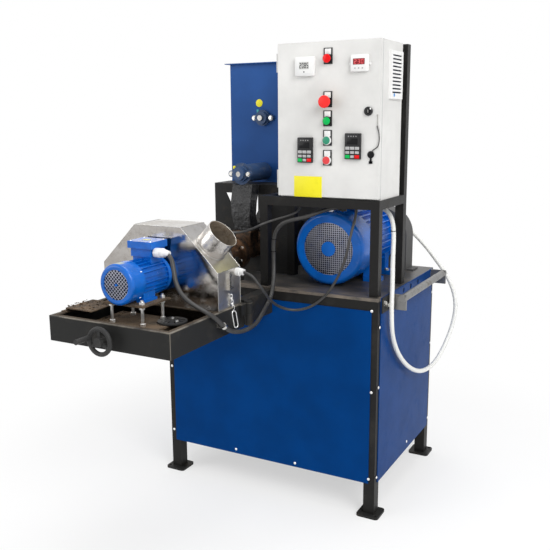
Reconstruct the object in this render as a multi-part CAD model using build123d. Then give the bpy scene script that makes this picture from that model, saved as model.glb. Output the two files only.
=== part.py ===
"""Feed extruder on a welded base: hopper, feed screw, heated barrel, main motor with belt guard,
control cabinet on a stand, and a swing-out cutter unit with its own motor and handwheel.

Frame: origin on the floor at the centre of the base, X to the right along the front, Y to the back,
Z up. Millimetres.
"""
from build123d import *
from math import atan2, cos, degrees, pi, radians, sin, sqrt, tan
import os

# Base: welded square tube, closed by four sheet panels, on four foot plates
BASE_W = 842.0
BASE_D = 606.0
TABLE_Z = 770.0
TABLE_T = 10.0
LEG = 40.0
FOOT = 80.0
FOOT_T = 8.0
FOOT_R = 12.0
ANCHOR_R = 5.5
ANCHOR_OUT = 28.0
PANEL_Z0 = 120.0
PANEL_T = 3.0
PANEL_TOP_GAP = 42.0
STRIP = 22.0

# Push bar on the right side
BAR_R = 13.0
BAR_OUT = 49.0
BAR_DROP = 13.0
BAR_Y0 = -215.0
BAR_Y1 = 276.0
BRACKET_T = 8.0
BRACKET_H = 52.0
WIRE_HOLE_R = 9.0
WIRE_HOLES_Y = [-58.0, 20.0, 102.0]
WIRE_HOLE_DROP = 9.0
CORNER_PLATE_H = 52.0
CORNER_PLATE_L = 64.0
CORNER_PLATE_T = 4.0

# Stand of square tube that carries the control cabinet
POST = 30.0
STAND_X0 = -27.0
STAND_X1 = 411.0
STAND_Y0 = -284.0
STAND_Y1 = -48.0
STAND_Z1 = 1086.0

# Control cabinet
CAB_X0 = 45.0
CAB_W = 360.0
CAB_H = 500.0
CAB_D = 200.0
DOOR_Y = -281.0
DOOR_T = 18.0
DOOR_GAP = 1.0
DOOR_LIFT = 5.0
SHEET = 2.0
CAB_WALL = 3.0
DOOR_RIM = 14.0
PLATE_EDGE = 30.0
PLATE_STAND = 12.0
PLATE_POST_R = 5.0
HINGE_KNUCKLE_R = 5.0
DOOR_PIN_R = 2.5
KNUCKLE_H = 30.0
HINGE_INSET = 60.0
VENT_W = 110.0
VENT_H = 150.0
VENT_T = 8.0
VENT_FRONT = 55.0
VENT_RISE = 320.0
VENT_MARGIN = 12.0
VENT_SLOTS = 11
VENT_PITCH = 11.5
VENT_SLOT = 5.0

# Door controls, as offsets from the door's lower left corner
COLUMN_X = 182.0
BUTTON_Z = [446.0, 312.0, 252.0, 190.0, 126.0]
LEGEND_W = 30.0
LEGEND_H = 50.0
LEGEND_T = 3.0
LEGEND_DROP = 17.0
BEZEL_R = 14.5
BEZEL_H = 7.0
CAP_R = 10.5
CAP_H = 14.0
STOP_R = 20.0
STOP_H = 34.0
STOP_HEAD = 10.0
STEM_R = 10.0
PAD_W = 54.0
PAD_H = 82.0
PAD_T = 14.0
KNOB_R = 9.0
KNOB_H = 8.0
PADS = [(104.0, 158.0), (273.0, 172.0)]
THERMOSTAT_AT = (104.0, 424.0)
THERMOSTAT_W = 68.0
THERMOSTAT_H = 60.0
THERMOSTAT_T = 16.0
METER_AT = (292.0, 428.0)
METER_W = 60.0
METER_H = 52.0
METER_T = 12.0
LOCK_AT = (322.0, 281.0)
LOCK_R = 14.0
LOCK_H = 5.0
LOCK_HOLE_R = 8.0

# Drive: foot-mounted main motor and belt guard
MAIN_X = 193.0
SHAFT_H = 132.0
MAIN_Y0 = -195.0
MAIN_LEN = 378.0
MAIN_R = 128.0
COWL_LEN = 112.0
COWL_T = 3.0
COWL_FACE = 20.0
COWL_ROUND = 15.0
GRILLE_R = 92.0
HUB_R = 26.0
GRILLE_DEPTH = 5.0
RUN = 0.05
FIN_T = 3.0
FIN_GAP = 4.0
MAIN_FINS = 32
MAIN_FIN_H = 14.0
SHIELD_T = 16.0
MAIN_SHIELD = 28.0
MAIN_SHAFT_R = 19.0
MAIN_FOOT_X = 108.0
MAIN_FOOT_W = 60.0
MAIN_FOOT_L = 50.0
MAIN_FOOT_T = 16.0
MAIN_WEB_X = 90.0
MAIN_WEB_W = 28.0
MAIN_WEB_L = 40.0
MAIN_BOX_W = 100.0
MAIN_BOX_Y0 = -43.0
MAIN_BOX_Y1 = 63.0
BOX_PAD = 6.0
BOX_CLEAR = 5.0
GUARD_X0 = -320.0
GUARD_X1 = 346.0
GUARD_Y0 = 190.0
GUARD_Y1 = 269.0
GUARD_R = 108.0
GUARD_FLANGE = 26.0
GUARD_FLANGE_T = 5.0
GUARD_FLANGE_IN = 10.0

# Extruder line, parallel to Y
EXT_X = -187.0
EXT_Z = 857.0
GEARBOX_W = 190.0
GEARBOX_Y0 = 20.0
GEARBOX_TOP = 88.0
GEARBOX_ROUND = 18.0
GEARBOX_BASE = 16.0
GEARBOX_FOOT = 24.0
NOSE_R = 62.0
NOSE_L = 16.0
DRIVE_R = 22.0
SEAT_R = 56.0
SEAT_T = 14.0
BARREL_R = 33.0
HOT_R = 38.0
BAND_R = 50.0
BAND_L = 56.0
BAND_PITCH = 70.0
BAND_FIRST = 63.0
EAR_W = 24.0
EAR_H = 12.0
DIE_R = 56.0
DIE_T = 24.0
DIE_HOLES = 12
DIE_HOLE_R = 3.0
DIE_RING_R = 30.0
DIE_HOLE_DEPTH = 14.0
PEDESTAL_Y0 = -262.0
PEDESTAL_T = 12.0
PEDESTAL_W = 100.0
PEDESTAL_FOOT = 10.0
PEDESTAL_SPREAD = 20.0
FLANGE_R = 62.0
FLANGE_Y0 = -211.0
FLANGE_Y1 = -182.0
DIE_Y = -518.0
KNIFE_GAP = 5.0
INLET_Y = -100.0
INLET_SIDE = 62.0
INLET_RISE = 78.0
INLET_RIM = 9.0
INLET_RIM_T = 6.0

# Hopper and its support
HOP_W = 294.0
HOP_Y0 = 38.0
HOP_D = 262.0
HOP_Z0 = 1104.0
HOP_Z1 = 1555.0
HOP_T = 3.0
RIM = 16.0
SUP_X0 = -348.0
SUP_X1 = -30.0
SUP_Y0 = -69.0
PLATE_T = 4.0
NOTCH_TOP = 1068.0
NOTCH_LOW = 926.0
NOTCH_HALF = 110.0
NOTCH_FOOT = 34.0
FOLD = 45.0
SHELF = 20.0
SLOT_EDGE = 12.0
SLOT_RISE = 60.0
SLOPE_RISE = 120.0
SLOPE_SINK = 8.0
AGIT_Z = 1349.0
AGIT_OUT = 34.0
AGIT_ARMS = 4
AGIT_ARM_R = 6.0
AGIT_ARM_L = 200.0
AGIT_FIRST = 50.0
AGIT_PITCH = 52.0
SHAFT_OUT = 32.0
SCREW_Z = 1147.0
SCREW_PITCH = 36.0
FLIGHT_T = 3.0
FLIGHT_GAP = 3.0
FLIGHT_START = 16.0
FLIGHT_END = 20.0
TUBE_R = 33.0
TUBE_T = 3.0
TUBE_Y0 = -131.0
TUBE_CAP_R = 40.0
TUBE_CAP_T = 6.0
OUTLET_W = 44.0
OUTLET_L = 45.0
OUTLET_RISE = 18.0
SHAFT_R = 10.0
HOUSE_R = 30.0
HOUSE_T = 12.0
HOUSE_EAR = 36.0
INSERT_R = 24.0
INSERT_L = 15.0
CHUTE_W = 84.0
CHUTE_T = 3.0
CHUTE_DEEP = 50.0
CHUTE_NECK = 76.0
CHUTE_FRONT = -122.0
CHUTE_BACK = -102.0
CHUTE_GROW = 6.0
CHUTE_GAP = 8.0
CHUTE_BENDS = [0.32, 0.61]

# Cutter unit on the swing arm
TRAY_X0 = -407.0
TRAY_X1 = 43.0
TRAY_Y0 = -922.0
TRAY_Y1 = -518.0
TRAY_Z0 = 686.0
TRAY_Z1 = 765.0
TRAY_T = 4.0
TRAY_LIP = 20.0
ARM_X0 = -11.0
ARM_X1 = 31.0
ARM_Y0 = -490.0
ARM_SINK = 3.0
LUG_L = 35.0
PIN_OUT = 5.0
SPLIT = 0.5
HINGE_X = 52.0
HINGE_Y = -505.0
HINGE_R = 13.0
HINGE_PIN_R = 6.0
HINGE_Z0 = 690.0
HINGE_MID = 727.5
MOUTH_GAP = 6.0
MOUTH_DEPTH = 10.0
COVER_X0 = -385.0
COVER_X1 = -281.0
COVER_Y0 = -873.0
COVER_Y1 = -751.0
COVER_RISE = 15.0
COVER_T = 3.0

# Cutter housing
HOU_X0 = -409.0
HOU_X1 = 35.0
HOU_Y0 = -659.0
HOU_Y1 = -527.0
HOU_Z1 = 1019.0
HOU_CUT = 133.0
HOU_T = 3.0
MOTOR_HOLE_R = 40.0
DIE_HOLE = 66.0
LATCH_Y = -590.0
LATCH_Z = 850.0
LATCH_W = 24.0
LATCH_H = 56.0
LATCH_T = 7.0
SPOUT_R = 52.0
SPOUT_LEN = 66.0
SPOUT_T = 2.5

# Cutter motor on its carriage
CUT_Z = 869.0
CUT_Y0 = -868.0
CUT_LEN = 198.0
CUT_R = 63.0
CUT_COWL = 62.0
CUT_SHAFT_H = 63.0
CUT_FACE = 16.0
CUT_ROUND = 10.0
CUT_GRILLE_R = 46.0
CUT_HUB_R = 4.0
CUT_FINS = 24
CUT_FIN_H = 8.0
CUT_SHIELD = 14.0
CUT_SHAFT_R = 8.0
CUT_FOOT_X = 38.0
CUT_FOOT_W = 28.0
CUT_FOOT_L = 66.0
CUT_FOOT_T = 8.0
CUT_WEB_W = 20.0
CUT_WEB_L = 56.0
TERMINAL_Y = -709.0
TERMINAL_W = 76.0
TERMINAL_L = 72.0
TERMINAL_H = 26.0
LID_W = 90.0
LID_L = 84.0
LID_T = 22.0
GLAND_R = 12.0
GLAND_L = 22.0
GLAND_BACK = 20.0
GLAND_DROP = 12.0
CARRIAGE_Z = 739.0
CARRIAGE_T = 6.0
CARRIAGE_W = 240.0
CARRIAGE_L = 180.0
CARRIAGE_Y0 = -880.0
NUT_W = 36.0
NUT_L = 30.0
NUT_FRONT = 30.0
RAIL_X = 96.0
RAIL_W = 28.0
RAIL_FRONT = 15.0
RAIL_L = 215.0
MOTOR_PLATE_T = 6.0
MOTOR_PLATE_W = 150.0
STUD_R = 5.0
STUD_X = 58.0
STUD_Y = [-822.0, -722.0]
STUD_EDGE = 18.0
STUD_TOP = 14.0
NUT_R = 9.0
NUT_H = 8.0
HUB_HEAD_R = 20.0
HUB_HEAD_L = 26.0
BLADES = 3
BLADE_OUT = 32.0
BLADE_L = 40.0
BLADE_T = 6.0
BLADE_W = 14.0

# Handwheel and spindle
WHEEL_OUT = 28.0
WHEEL_Z = 718.0
WHEEL_R = 45.0
WHEEL_RIM = 7.0
WHEEL_HUB_R = 14.0
SPOKES = 3
SPOKE_W = 8.0
SPOKE_T = 10.0
CRANK_R = 8.0
CRANK_L = 58.0
SPINDLE_R = 8.0
SPINDLE_IN = 162.0

# Cords
MOTOR_CORD_R = 7.0
SENSOR_CORD_R = 4.5
HEATER_CORD_R = 4.0
HOSE_R = 8.0
CLIP_W = 10.0
CLIP_WALL = 3.0
CLIP_FOOT = 14.0
PLUG_R = 13.0
PLUG_L = 26.0
PLUG_RISE = 107.0
PLUG_IN = 20.0
ELBOW_R = 11.0
SMALL_GLAND_R = 10.0


def block(x0, x1, y0, y1, z0, z1):
    """A box between six planes."""
    return Pos((x0 + x1) / 2, (y0 + y1) / 2, (z0 + z1) / 2) * Box(x1 - x0, y1 - y0, z1 - z0)


def slab(x, y, w, d, z0, z1):
    """A box round a vertical axis, from its width and depth."""
    return block(x - w / 2, x + w / 2, y - d / 2, y + d / 2, z0, z1)


def rod(axis, a, b, r, c0, c1):
    """A cylinder along X, Y or Z from c0 to c1; a and b are its other two coordinates."""
    mid = (c0 + c1) / 2
    spin = {"x": Rot(0, 90, 0), "y": Rot(90, 0, 0), "z": Rot(0, 0, 0)}[axis]
    place = {"x": (mid, a, b), "y": (a, mid, b), "z": (a, b, mid)}[axis]
    return Pos(*place) * spin * Cylinder(r, abs(c1 - c0))


def pipe(axis, a, b, r, wall, c0, c1):
    """A straight tube."""
    return rod(axis, a, b, r, c0, c1) - rod(axis, a, b, r - wall, c0 - 1, c1 + 1)


def fused(pieces):
    """One solid from touching pieces."""
    body = pieces[0]
    for piece in pieces[1:]:
        body = body + piece
    return body


def group(pieces):
    """Separate solids that share a node."""
    solids = []
    for piece in pieces:
        solids += list(piece.solids())
    return Compound(children=solids)


def prism(points, y0, y1):
    """An outline in the X-Z plane, extruded along Y."""
    plane = Plane(origin=(0, y0, 0), x_dir=(1, 0, 0), z_dir=(0, -1, 0))
    face = plane * make_face(Polyline(*points, close=True))
    return extrude(face, y1 - y0, dir=(0, 1, 0))


def arc_radii(points):
    """The radius of each bend of a cord: 0.45 of its shorter run over the tangent of half its turn."""
    radii = []
    for a, b, c in zip(points, points[1:], points[2:]):
        before = Vector(*b) - Vector(*a)
        after = Vector(*c) - Vector(*b)
        half = radians(before.get_angle(after)) / 2
        radii.append(0.45 * min(before.length, after.length) / tan(half))
    return radii


def cord(name, points, r):
    """A cord of round section along its hand-placed points."""
    radii = arc_radii(points)
    path = FilletPolyline(*points, radius=radii)
    start = Plane(origin=path @ 0, z_dir=path % 0)
    body = sweep(start * Circle(r), path=path)
    want = pi * r * r * path.length
    share = body.volume / want
    print(f"{name}: length {path.length:.0f}, smallest radius {min(radii):.0f}, volume {share:.4f}")
    return body


def nose(near, end, r, length):
    """A gland's nose: a cylinder that carries on from a cord's end, along the cord's last run."""
    along = (Vector(*end) - Vector(*near)).normalized()
    return Plane(origin=Vector(*end) + along * (length / 2), z_dir=along) * Cylinder(r, length)


# Base

HALF_W = BASE_W / 2
HALF_D = BASE_D / 2
RAIL_TOP = TABLE_Z - TABLE_T
CORNERS = [(-1, -1), (1, -1), (1, 1), (-1, 1)]
LEG_X = HALF_W - LEG / 2
LEG_Y = HALF_D - LEG / 2
PANEL_Z1 = TABLE_Z - PANEL_TOP_GAP


def base_legs():
    """Four square legs from the foot plates to the table top."""
    return group([slab(sx * LEG_X, sy * LEG_Y, LEG, LEG, FOOT_T, RAIL_TOP) for sx, sy in CORNERS])


def foot_plates():
    """Four foot plates, each with one anchor hole at its outer corner."""
    plates = []
    for sx, sy in CORNERS:
        plate = extrude(RectangleRounded(FOOT, FOOT, FOOT_R), FOOT_T)
        hole = Pos(sx * ANCHOR_OUT, sy * ANCHOR_OUT, 0) * Cylinder(ANCHOR_R, 4 * FOOT_T)
        plates.append(Pos(sx * LEG_X, sy * LEG_Y, 0) * (plate - hole))
    return group(plates)


def base_rails():
    """Rails between the legs, at the panels' lower edge and under the table top."""
    rails = []
    for z0, z1 in [(PANEL_Z0, PANEL_Z0 + LEG), (RAIL_TOP - LEG, RAIL_TOP)]:
        for s in (-1, 1):
            rails.append(slab(0, s * LEG_Y, BASE_W - 2 * LEG, LEG, z0, z1))
            rails.append(slab(s * LEG_X, 0, LEG, BASE_D - 2 * LEG, z0, z1))
    return group(rails)


def table_top():
    """Table plate."""
    return block(-HALF_W, HALF_W, -HALF_D, HALF_D, RAIL_TOP, TABLE_Z)


def base_panels():
    """Four sheet panels; the right one has three round wiring holes below the table's edge."""
    panels = []
    for s in (-1, 1):
        x = s * (HALF_W + PANEL_T / 2)
        y = s * (HALF_D + PANEL_T / 2)
        panels.append(slab(0, y, BASE_W - 2 * STRIP, PANEL_T, PANEL_Z0, PANEL_Z1))
        panels.append(slab(x, 0, PANEL_T, BASE_D - 2 * STRIP, PANEL_Z0, TABLE_Z if s > 0 else PANEL_Z1))
    for y in WIRE_HOLES_Y:
        panels[-1] = panels[-1] - rod("x", y, TABLE_Z - WIRE_HOLE_DROP - WIRE_HOLE_R, WIRE_HOLE_R,
                                      HALF_W - 1, HALF_W + PANEL_T + 1)
    return group(panels)


def corner_plate():
    """Black plate at the front of the right side, that the push bar's front end is bolted to."""
    x = HALF_W + PANEL_T
    return block(x, x + CORNER_PLATE_T, STRIP - HALF_D, STRIP - HALF_D + CORNER_PLATE_L,
                 TABLE_Z - CORNER_PLATE_H, TABLE_Z)


BAR_X = HALF_W + BAR_OUT
BAR_Z = TABLE_Z - BAR_DROP


def push_bar():
    """Round bar between two flat brackets on the right side."""
    pieces = [rod("y", BAR_X, BAR_Z, BAR_R, BAR_Y0, BAR_Y1)]
    for y in (BAR_Y0 + BRACKET_T, BAR_Y1 - 2 * BRACKET_T):
        pieces.append(block(HALF_W + PANEL_T, BAR_X + BAR_R, y, y + BRACKET_T, TABLE_Z - BRACKET_H, TABLE_Z))
    return fused(pieces)


# Stand and cabinet

STAND_RAIL = STAND_Z1 - POST


def stand_posts():
    """Three short posts and the tall back post beside the cabinet."""
    front = STAND_Y0 + POST
    return group([
        block(STAND_X0, STAND_X0 + POST, STAND_Y0, front, TABLE_Z, STAND_RAIL),
        block(STAND_X1 - POST, STAND_X1, STAND_Y0, front, TABLE_Z, STAND_RAIL),
        block(STAND_X0, STAND_X0 + POST, STAND_Y1 - POST, STAND_Y1, TABLE_Z, STAND_RAIL),
        block(STAND_X1 - POST, STAND_X1, STAND_Y1, STAND_Y1 + POST, TABLE_Z, STAND_Z1 + CAB_H),
    ])


def stand_rails():
    """The frame under the cabinet: two long rails and two cross rails."""
    outer = block(STAND_X0, STAND_X1, STAND_Y0, STAND_Y1, STAND_RAIL, STAND_Z1)
    inner = block(STAND_X0 + POST, STAND_X1 - POST, STAND_Y0 + POST, STAND_Y1 - POST,
                  STAND_RAIL - 1, STAND_Z1 + 1)
    return outer - inner


CAB_X1 = CAB_X0 + CAB_W
CAB_Y0 = DOOR_Y + DOOR_T + DOOR_GAP
CAB_Y1 = DOOR_Y + CAB_D
CAB_Z0 = STAND_Z1
CAB_Z1 = STAND_Z1 + CAB_H


def cabinet_box():
    """Folded steel box, open at the front, with a folded rim round the opening."""
    outer = block(CAB_X0, CAB_X1, CAB_Y0, CAB_Y1, CAB_Z0, CAB_Z1)
    inner = block(CAB_X0 + CAB_WALL, CAB_X1 - CAB_WALL, CAB_Y0 + CAB_WALL, CAB_Y1 - CAB_WALL,
                  CAB_Z0 + CAB_WALL, CAB_Z1 - CAB_WALL)
    mouth = block(CAB_X0 + DOOR_RIM, CAB_X1 - DOOR_RIM, CAB_Y0 - 1, CAB_Y0 + CAB_WALL + 1,
                  CAB_Z0 + DOOR_RIM, CAB_Z1 - DOOR_RIM)
    return outer - inner - mouth


def mounting_plate():
    """Plate on four posts inside the cabinet."""
    y1 = CAB_Y1 - CAB_WALL - PLATE_STAND
    post = 1.5 * PLATE_EDGE
    pieces = [block(CAB_X0 + PLATE_EDGE, CAB_X1 - PLATE_EDGE, y1 - SHEET, y1,
                    CAB_Z0 + PLATE_EDGE, CAB_Z1 - PLATE_EDGE)]
    for x in (CAB_X0 + post, CAB_X1 - post):
        for z in (CAB_Z0 + post, CAB_Z1 - post):
            pieces.append(rod("y", x, z, PLATE_POST_R, y1, CAB_Y1 - CAB_WALL))
    return fused(pieces)


DOOR_HINGE_X = CAB_X0 - HINGE_KNUCKLE_R - DOOR_GAP
DOOR_HINGE_Y = DOOR_Y + DOOR_T - HINGE_KNUCKLE_R
DOOR_HINGE_Z = [CAB_Z0 + HINGE_INSET, CAB_Z1 - HINGE_INSET]


def cabinet_hinges():
    """Lower knuckles and pins of the two door hinges, on the cabinet's left side."""
    hinges = []
    for z in DOOR_HINGE_Z:
        knuckle = rod("z", DOOR_HINGE_X, DOOR_HINGE_Y, HINGE_KNUCKLE_R, z - KNUCKLE_H, z)
        leaf = block(DOOR_HINGE_X - 1, CAB_X0, DOOR_HINGE_Y, CAB_Y0 + KNUCKLE_H, z - KNUCKLE_H, z)
        pin = rod("z", DOOR_HINGE_X, DOOR_HINGE_Y, DOOR_PIN_R, z - 1, z + KNUCKLE_H - 2)
        hinges.append(knuckle + leaf + pin)
    return group(hinges)


def cabinet_door():
    """Door sheet with folded edges and the upper hinge knuckles on its left edge."""
    z0 = CAB_Z0 + DOOR_LIFT
    outer = block(CAB_X0, CAB_X1, DOOR_Y, DOOR_Y + DOOR_T, z0, CAB_Z1)
    inner = block(CAB_X0 + SHEET, CAB_X1 - SHEET, DOOR_Y + SHEET, DOOR_Y + DOOR_T + 1,
                  z0 + SHEET, CAB_Z1 - SHEET)
    door = outer - inner
    for z in DOOR_HINGE_Z:
        low = z + SPLIT
        knuckle = rod("z", DOOR_HINGE_X, DOOR_HINGE_Y, HINGE_KNUCKLE_R, low, z + KNUCKLE_H)
        leaf = block(DOOR_HINGE_X, CAB_X0 + 1, DOOR_HINGE_Y - 3, DOOR_HINGE_Y + 1, low, z + KNUCKLE_H)
        bore = rod("z", DOOR_HINGE_X, DOOR_HINGE_Y, DOOR_PIN_R + RUN, z, z + KNUCKLE_H - 1)
        door = door + knuckle + leaf - bore
    return door


def at_door(x, z):
    """A point on the door's face, from offsets to its lower left corner."""
    return CAB_X0 + x, CAB_Z0 + z


def on_door(place, w, h, t):
    """A plate on the door's face, centred on a place."""
    x, z = at_door(*place)
    return block(x - w / 2, x + w / 2, DOOR_Y - t, DOOR_Y, z - h / 2, z + h / 2)


def legend_holders():
    """Black label holders round the push-buttons."""
    rise = LEGEND_H / 2 - LEGEND_DROP
    return group([on_door((COLUMN_X, z + rise), LEGEND_W, LEGEND_H, LEGEND_T) for z in BUTTON_Z])


def push_buttons():
    """Lamp, mushroom stop, two push-buttons and a lamp."""
    units = []
    face = DOOR_Y - LEGEND_T
    for index, place in enumerate(BUTTON_Z):
        x, z = at_door(COLUMN_X, place)
        bezel = rod("y", x, z, BEZEL_R, face - BEZEL_H, face)
        if index == 1:
            cap = rod("y", x, z, STOP_R, face - STOP_H, face - STOP_H + STOP_HEAD)
            stem = rod("y", x, z, STEM_R, face - STOP_H + 1, face)
        else:
            cap = rod("y", x, z, CAP_R, face - CAP_H, face - BEZEL_H)
            stem = rod("y", x, z, STEM_R, face - CAP_H + 1, face)
        units.append(fused([bezel, stem, cap]))
    return group(units)


def drive_keypads():
    """Two keypads of the motor drives, each with a turning knob."""
    pads = []
    for place in PADS:
        x, z = at_door(*place)
        knob = rod("y", x + PAD_W / 4, z - PAD_H / 8, KNOB_R, DOOR_Y - PAD_T - KNOB_H, DOOR_Y - PAD_T)
        pads.append(on_door(place, PAD_W, PAD_H, PAD_T) + knob)
    return group(pads)


def door_meters():
    """Temperature controller on the left and a digital meter on the right."""
    return group([on_door(THERMOSTAT_AT, THERMOSTAT_W, THERMOSTAT_H, THERMOSTAT_T),
                  on_door(METER_AT, METER_W, METER_H, METER_T)])


LOCK_X, LOCK_Z = at_door(*LOCK_AT)


def door_lock():
    """Quarter-turn lock insert."""
    hole = rod("y", LOCK_X, LOCK_Z, LOCK_HOLE_R, DOOR_Y - LOCK_H - 1, DOOR_Y - SHEET)
    return rod("y", LOCK_X, LOCK_Z, LOCK_R, DOOR_Y - LOCK_H, DOOR_Y) - hole


def vent_grille():
    """Filter grille on the cabinet's right side with slots."""
    y0, z0 = CAB_Y0 + VENT_FRONT, CAB_Z0 + VENT_RISE
    y1 = y0 + VENT_W
    plate = block(CAB_X1, CAB_X1 + VENT_T, y0, y1, z0, z0 + VENT_H)
    for index in range(VENT_SLOTS):
        z = z0 + 1.5 * VENT_MARGIN + index * VENT_PITCH
        plate = plate - block(CAB_X1 + VENT_T / 2, CAB_X1 + VENT_T + 1, y0 + VENT_MARGIN, y1 - VENT_MARGIN,
                              z, z + VENT_SLOT)
    return plate


def cabinet_glands():
    """An elbow gland for the cutter's cable and two straight ones, under the cabinet's floor."""
    x, y, z = SWING_CORD[-1]
    bend = x + 2 * ELBOW_R
    glands = [rod("z", bend, y, ELBOW_R, z - ELBOW_R, STAND_Z1) + nose(*SWING_CORD[-2:], ELBOW_R, 2 * ELBOW_R)]
    for points in (SENSOR_CORD, HEATER_CORD):
        x, y, z = points[-1]
        glands.append(rod("z", x, y, SMALL_GLAND_R, z + SMALL_GLAND_R, STAND_Z1)
                      + nose(*points[-2:], SMALL_GLAND_R, 1.5 * SMALL_GLAND_R))
    return group(glands)


# Main motor and belt guard

MAIN_Z = TABLE_Z + SHAFT_H
MAIN_Y1 = MAIN_Y0 + MAIN_LEN


def finned_body(x, z, r, y0, y1, fins, depth):
    """A motor frame: a round core with cooling fins along it."""
    body = rod("y", x, z, r - depth, y0, y1)
    for index in range(fins):
        turn = Pos(x, (y0 + y1) / 2, z) * Rot(0, 360 / fins * index, 0)
        body = body + turn * Pos(r - depth, 0, 0) * Box(2 * depth, y1 - y0 - 2 * FIN_GAP, FIN_T)
    return body


def fan_cowl(x, z, r, y0, y1, face, edge, grille_r, hub_r):
    """A fan cowl: rounded front edge, hollow back, and a shallow ring pocket for its mesh."""
    shell = rod("y", x, z, r, y0, y1)
    shell = fillet(shell.edges().group_by(Axis.Y)[0], edge)
    cavity = rod("y", x, z, r - COWL_T, y0 + face, y1 + 1)
    pocket = rod("y", x, z, grille_r, y0 - 1, y0 + GRILLE_DEPTH) - rod("y", x, z, hub_r, y0 - 2, y0 + face)
    return shell - cavity - pocket


def main_motor():
    """Finned frame with end shields, feet and the shaft into the belt guard."""
    y0 = MAIN_Y0 + COWL_LEN - SHIELD_T + FIN_GAP
    body = finned_body(MAIN_X, MAIN_Z, MAIN_R - 6, y0 + SHIELD_T - 2, MAIN_Y1 - MAIN_SHIELD + 2,
                       MAIN_FINS, MAIN_FIN_H)
    rear = rod("y", MAIN_X, MAIN_Z, MAIN_R - COWL_T - RUN, y0, y0 + SHIELD_T)
    front = rod("y", MAIN_X, MAIN_Z, MAIN_R - 8, MAIN_Y1 - MAIN_SHIELD, MAIN_Y1)
    shaft = rod("y", MAIN_X, MAIN_Z, MAIN_SHAFT_R, MAIN_Y1 - 5, GUARD_Y0)
    feet = []
    for s in (-1, 1):
        for y in (y0 + 60, MAIN_Y1 - 70):
            feet.append(slab(MAIN_X + s * MAIN_FOOT_X, y, MAIN_FOOT_W, MAIN_FOOT_L,
                             TABLE_Z, TABLE_Z + MAIN_FOOT_T))
            feet.append(slab(MAIN_X + s * MAIN_WEB_X, y, MAIN_WEB_W, MAIN_WEB_L,
                             TABLE_Z + MAIN_FOOT_T / 2, MAIN_Z - 2 * SHELF))
    pad = block(MAIN_X - MAIN_BOX_W / 2 + BOX_PAD, MAIN_X + MAIN_BOX_W / 2 - BOX_PAD,
                MAIN_BOX_Y0 + BOX_PAD, MAIN_BOX_Y1 - BOX_PAD, MAIN_Z + MAIN_R - 2 * SHELF + 2, MAIN_Z + MAIN_R)
    return fused([body, rear, front, shaft, pad] + feet)


def main_cowl():
    """Fan cowl of the main motor."""
    return fan_cowl(MAIN_X, MAIN_Z, MAIN_R, MAIN_Y0, MAIN_Y0 + COWL_LEN,
                    COWL_FACE, COWL_ROUND, GRILLE_R, HUB_R)


def main_terminal_box():
    """Terminal box on top of the main motor, with the white hose's gland on its right side."""
    box = block(MAIN_X - MAIN_BOX_W / 2, MAIN_X + MAIN_BOX_W / 2, MAIN_BOX_Y0, MAIN_BOX_Y1,
                MAIN_Z + MAIN_R, STAND_Z1 - BOX_CLEAR)
    x, y, z = HOSE[0]
    neck = rod("x", y, z, GLAND_R, MAIN_X + MAIN_BOX_W / 2 - 1, x - GLAND_R)
    return box + neck + nose(HOSE[1], HOSE[0], GLAND_R, 1.5 * GLAND_R)


def belt_guard():
    """Belt guard: an arched casing over both pulleys, with a foot flange and the hose's gland at its back."""
    arch_x = GUARD_X1 - GUARD_R
    top = MAIN_Z + GUARD_R
    casing = block(GUARD_X0, arch_x, GUARD_Y0, GUARD_Y1, TABLE_Z, top)
    casing = casing + rod("y", arch_x, MAIN_Z, GUARD_R, GUARD_Y0, GUARD_Y1)
    casing = casing + block(arch_x, GUARD_X1, GUARD_Y0, GUARD_Y1, TABLE_Z, MAIN_Z)
    left = casing.edges().filter_by(Axis.Y).group_by(Axis.X)[0].group_by(Axis.Z)[-1]
    casing = fillet(left, GUARD_R * 0.9)
    flange = block(GUARD_X1, GUARD_X1 + GUARD_FLANGE, GUARD_Y0 + GUARD_FLANGE_IN, GUARD_Y1 - GUARD_FLANGE_IN,
                   TABLE_Z, TABLE_Z + GUARD_FLANGE_T)
    return casing + flange + nose(*HOSE[-2:], GLAND_R, 1.5 * GLAND_R)


# Extruder line

INLET_TOP = EXT_Z + INLET_RISE
NOSE_Y = GEARBOX_Y0 - NOSE_L


def gearbox():
    """Gearbox and bearing housing on the table, driven through the belt guard."""
    half = GEARBOX_W / 2
    back = GUARD_Y0 - 6
    case = block(EXT_X - half, EXT_X + half, GEARBOX_Y0, back, TABLE_Z + GEARBOX_BASE - 2, EXT_Z + GEARBOX_TOP)
    case = fillet(case.edges().filter_by(Axis.Y), GEARBOX_ROUND)
    base = block(EXT_X - half - GEARBOX_FOOT, EXT_X + half + GEARBOX_FOOT, GEARBOX_Y0 + 6, back - 6,
                 TABLE_Z, TABLE_Z + GEARBOX_BASE)
    nose = rod("y", EXT_X, EXT_Z, NOSE_R, NOSE_Y, GEARBOX_Y0 + 1)
    shaft = rod("y", EXT_X, EXT_Z, DRIVE_R, back - 2, GUARD_Y0)
    return fused([case, base, nose, shaft])


def barrel_rear():
    """Feed section of the barrel, with its inlet collar and both its flanges."""
    half = INLET_SIDE / 2
    neck = INLET_TOP - INLET_RIM_T
    rim = INLET_SIDE + 2 * INLET_RIM
    return fused([
        rod("y", EXT_X, EXT_Z, BARREL_R, FLANGE_Y1 - 1, NOSE_Y),
        rod("y", EXT_X, EXT_Z, SEAT_R, NOSE_Y - SEAT_T, NOSE_Y),
        rod("y", EXT_X, EXT_Z, FLANGE_R, FLANGE_Y0, FLANGE_Y1),
        block(EXT_X - half, EXT_X + half, INLET_Y - half, INLET_Y + half, EXT_Z, neck),
        slab(EXT_X, INLET_Y, rim, rim, neck, INLET_TOP),
    ])


def barrel_front():
    """Heated section of the barrel."""
    return rod("y", EXT_X, EXT_Z, HOT_R, DIE_Y + DIE_T, FLANGE_Y0)


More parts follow.
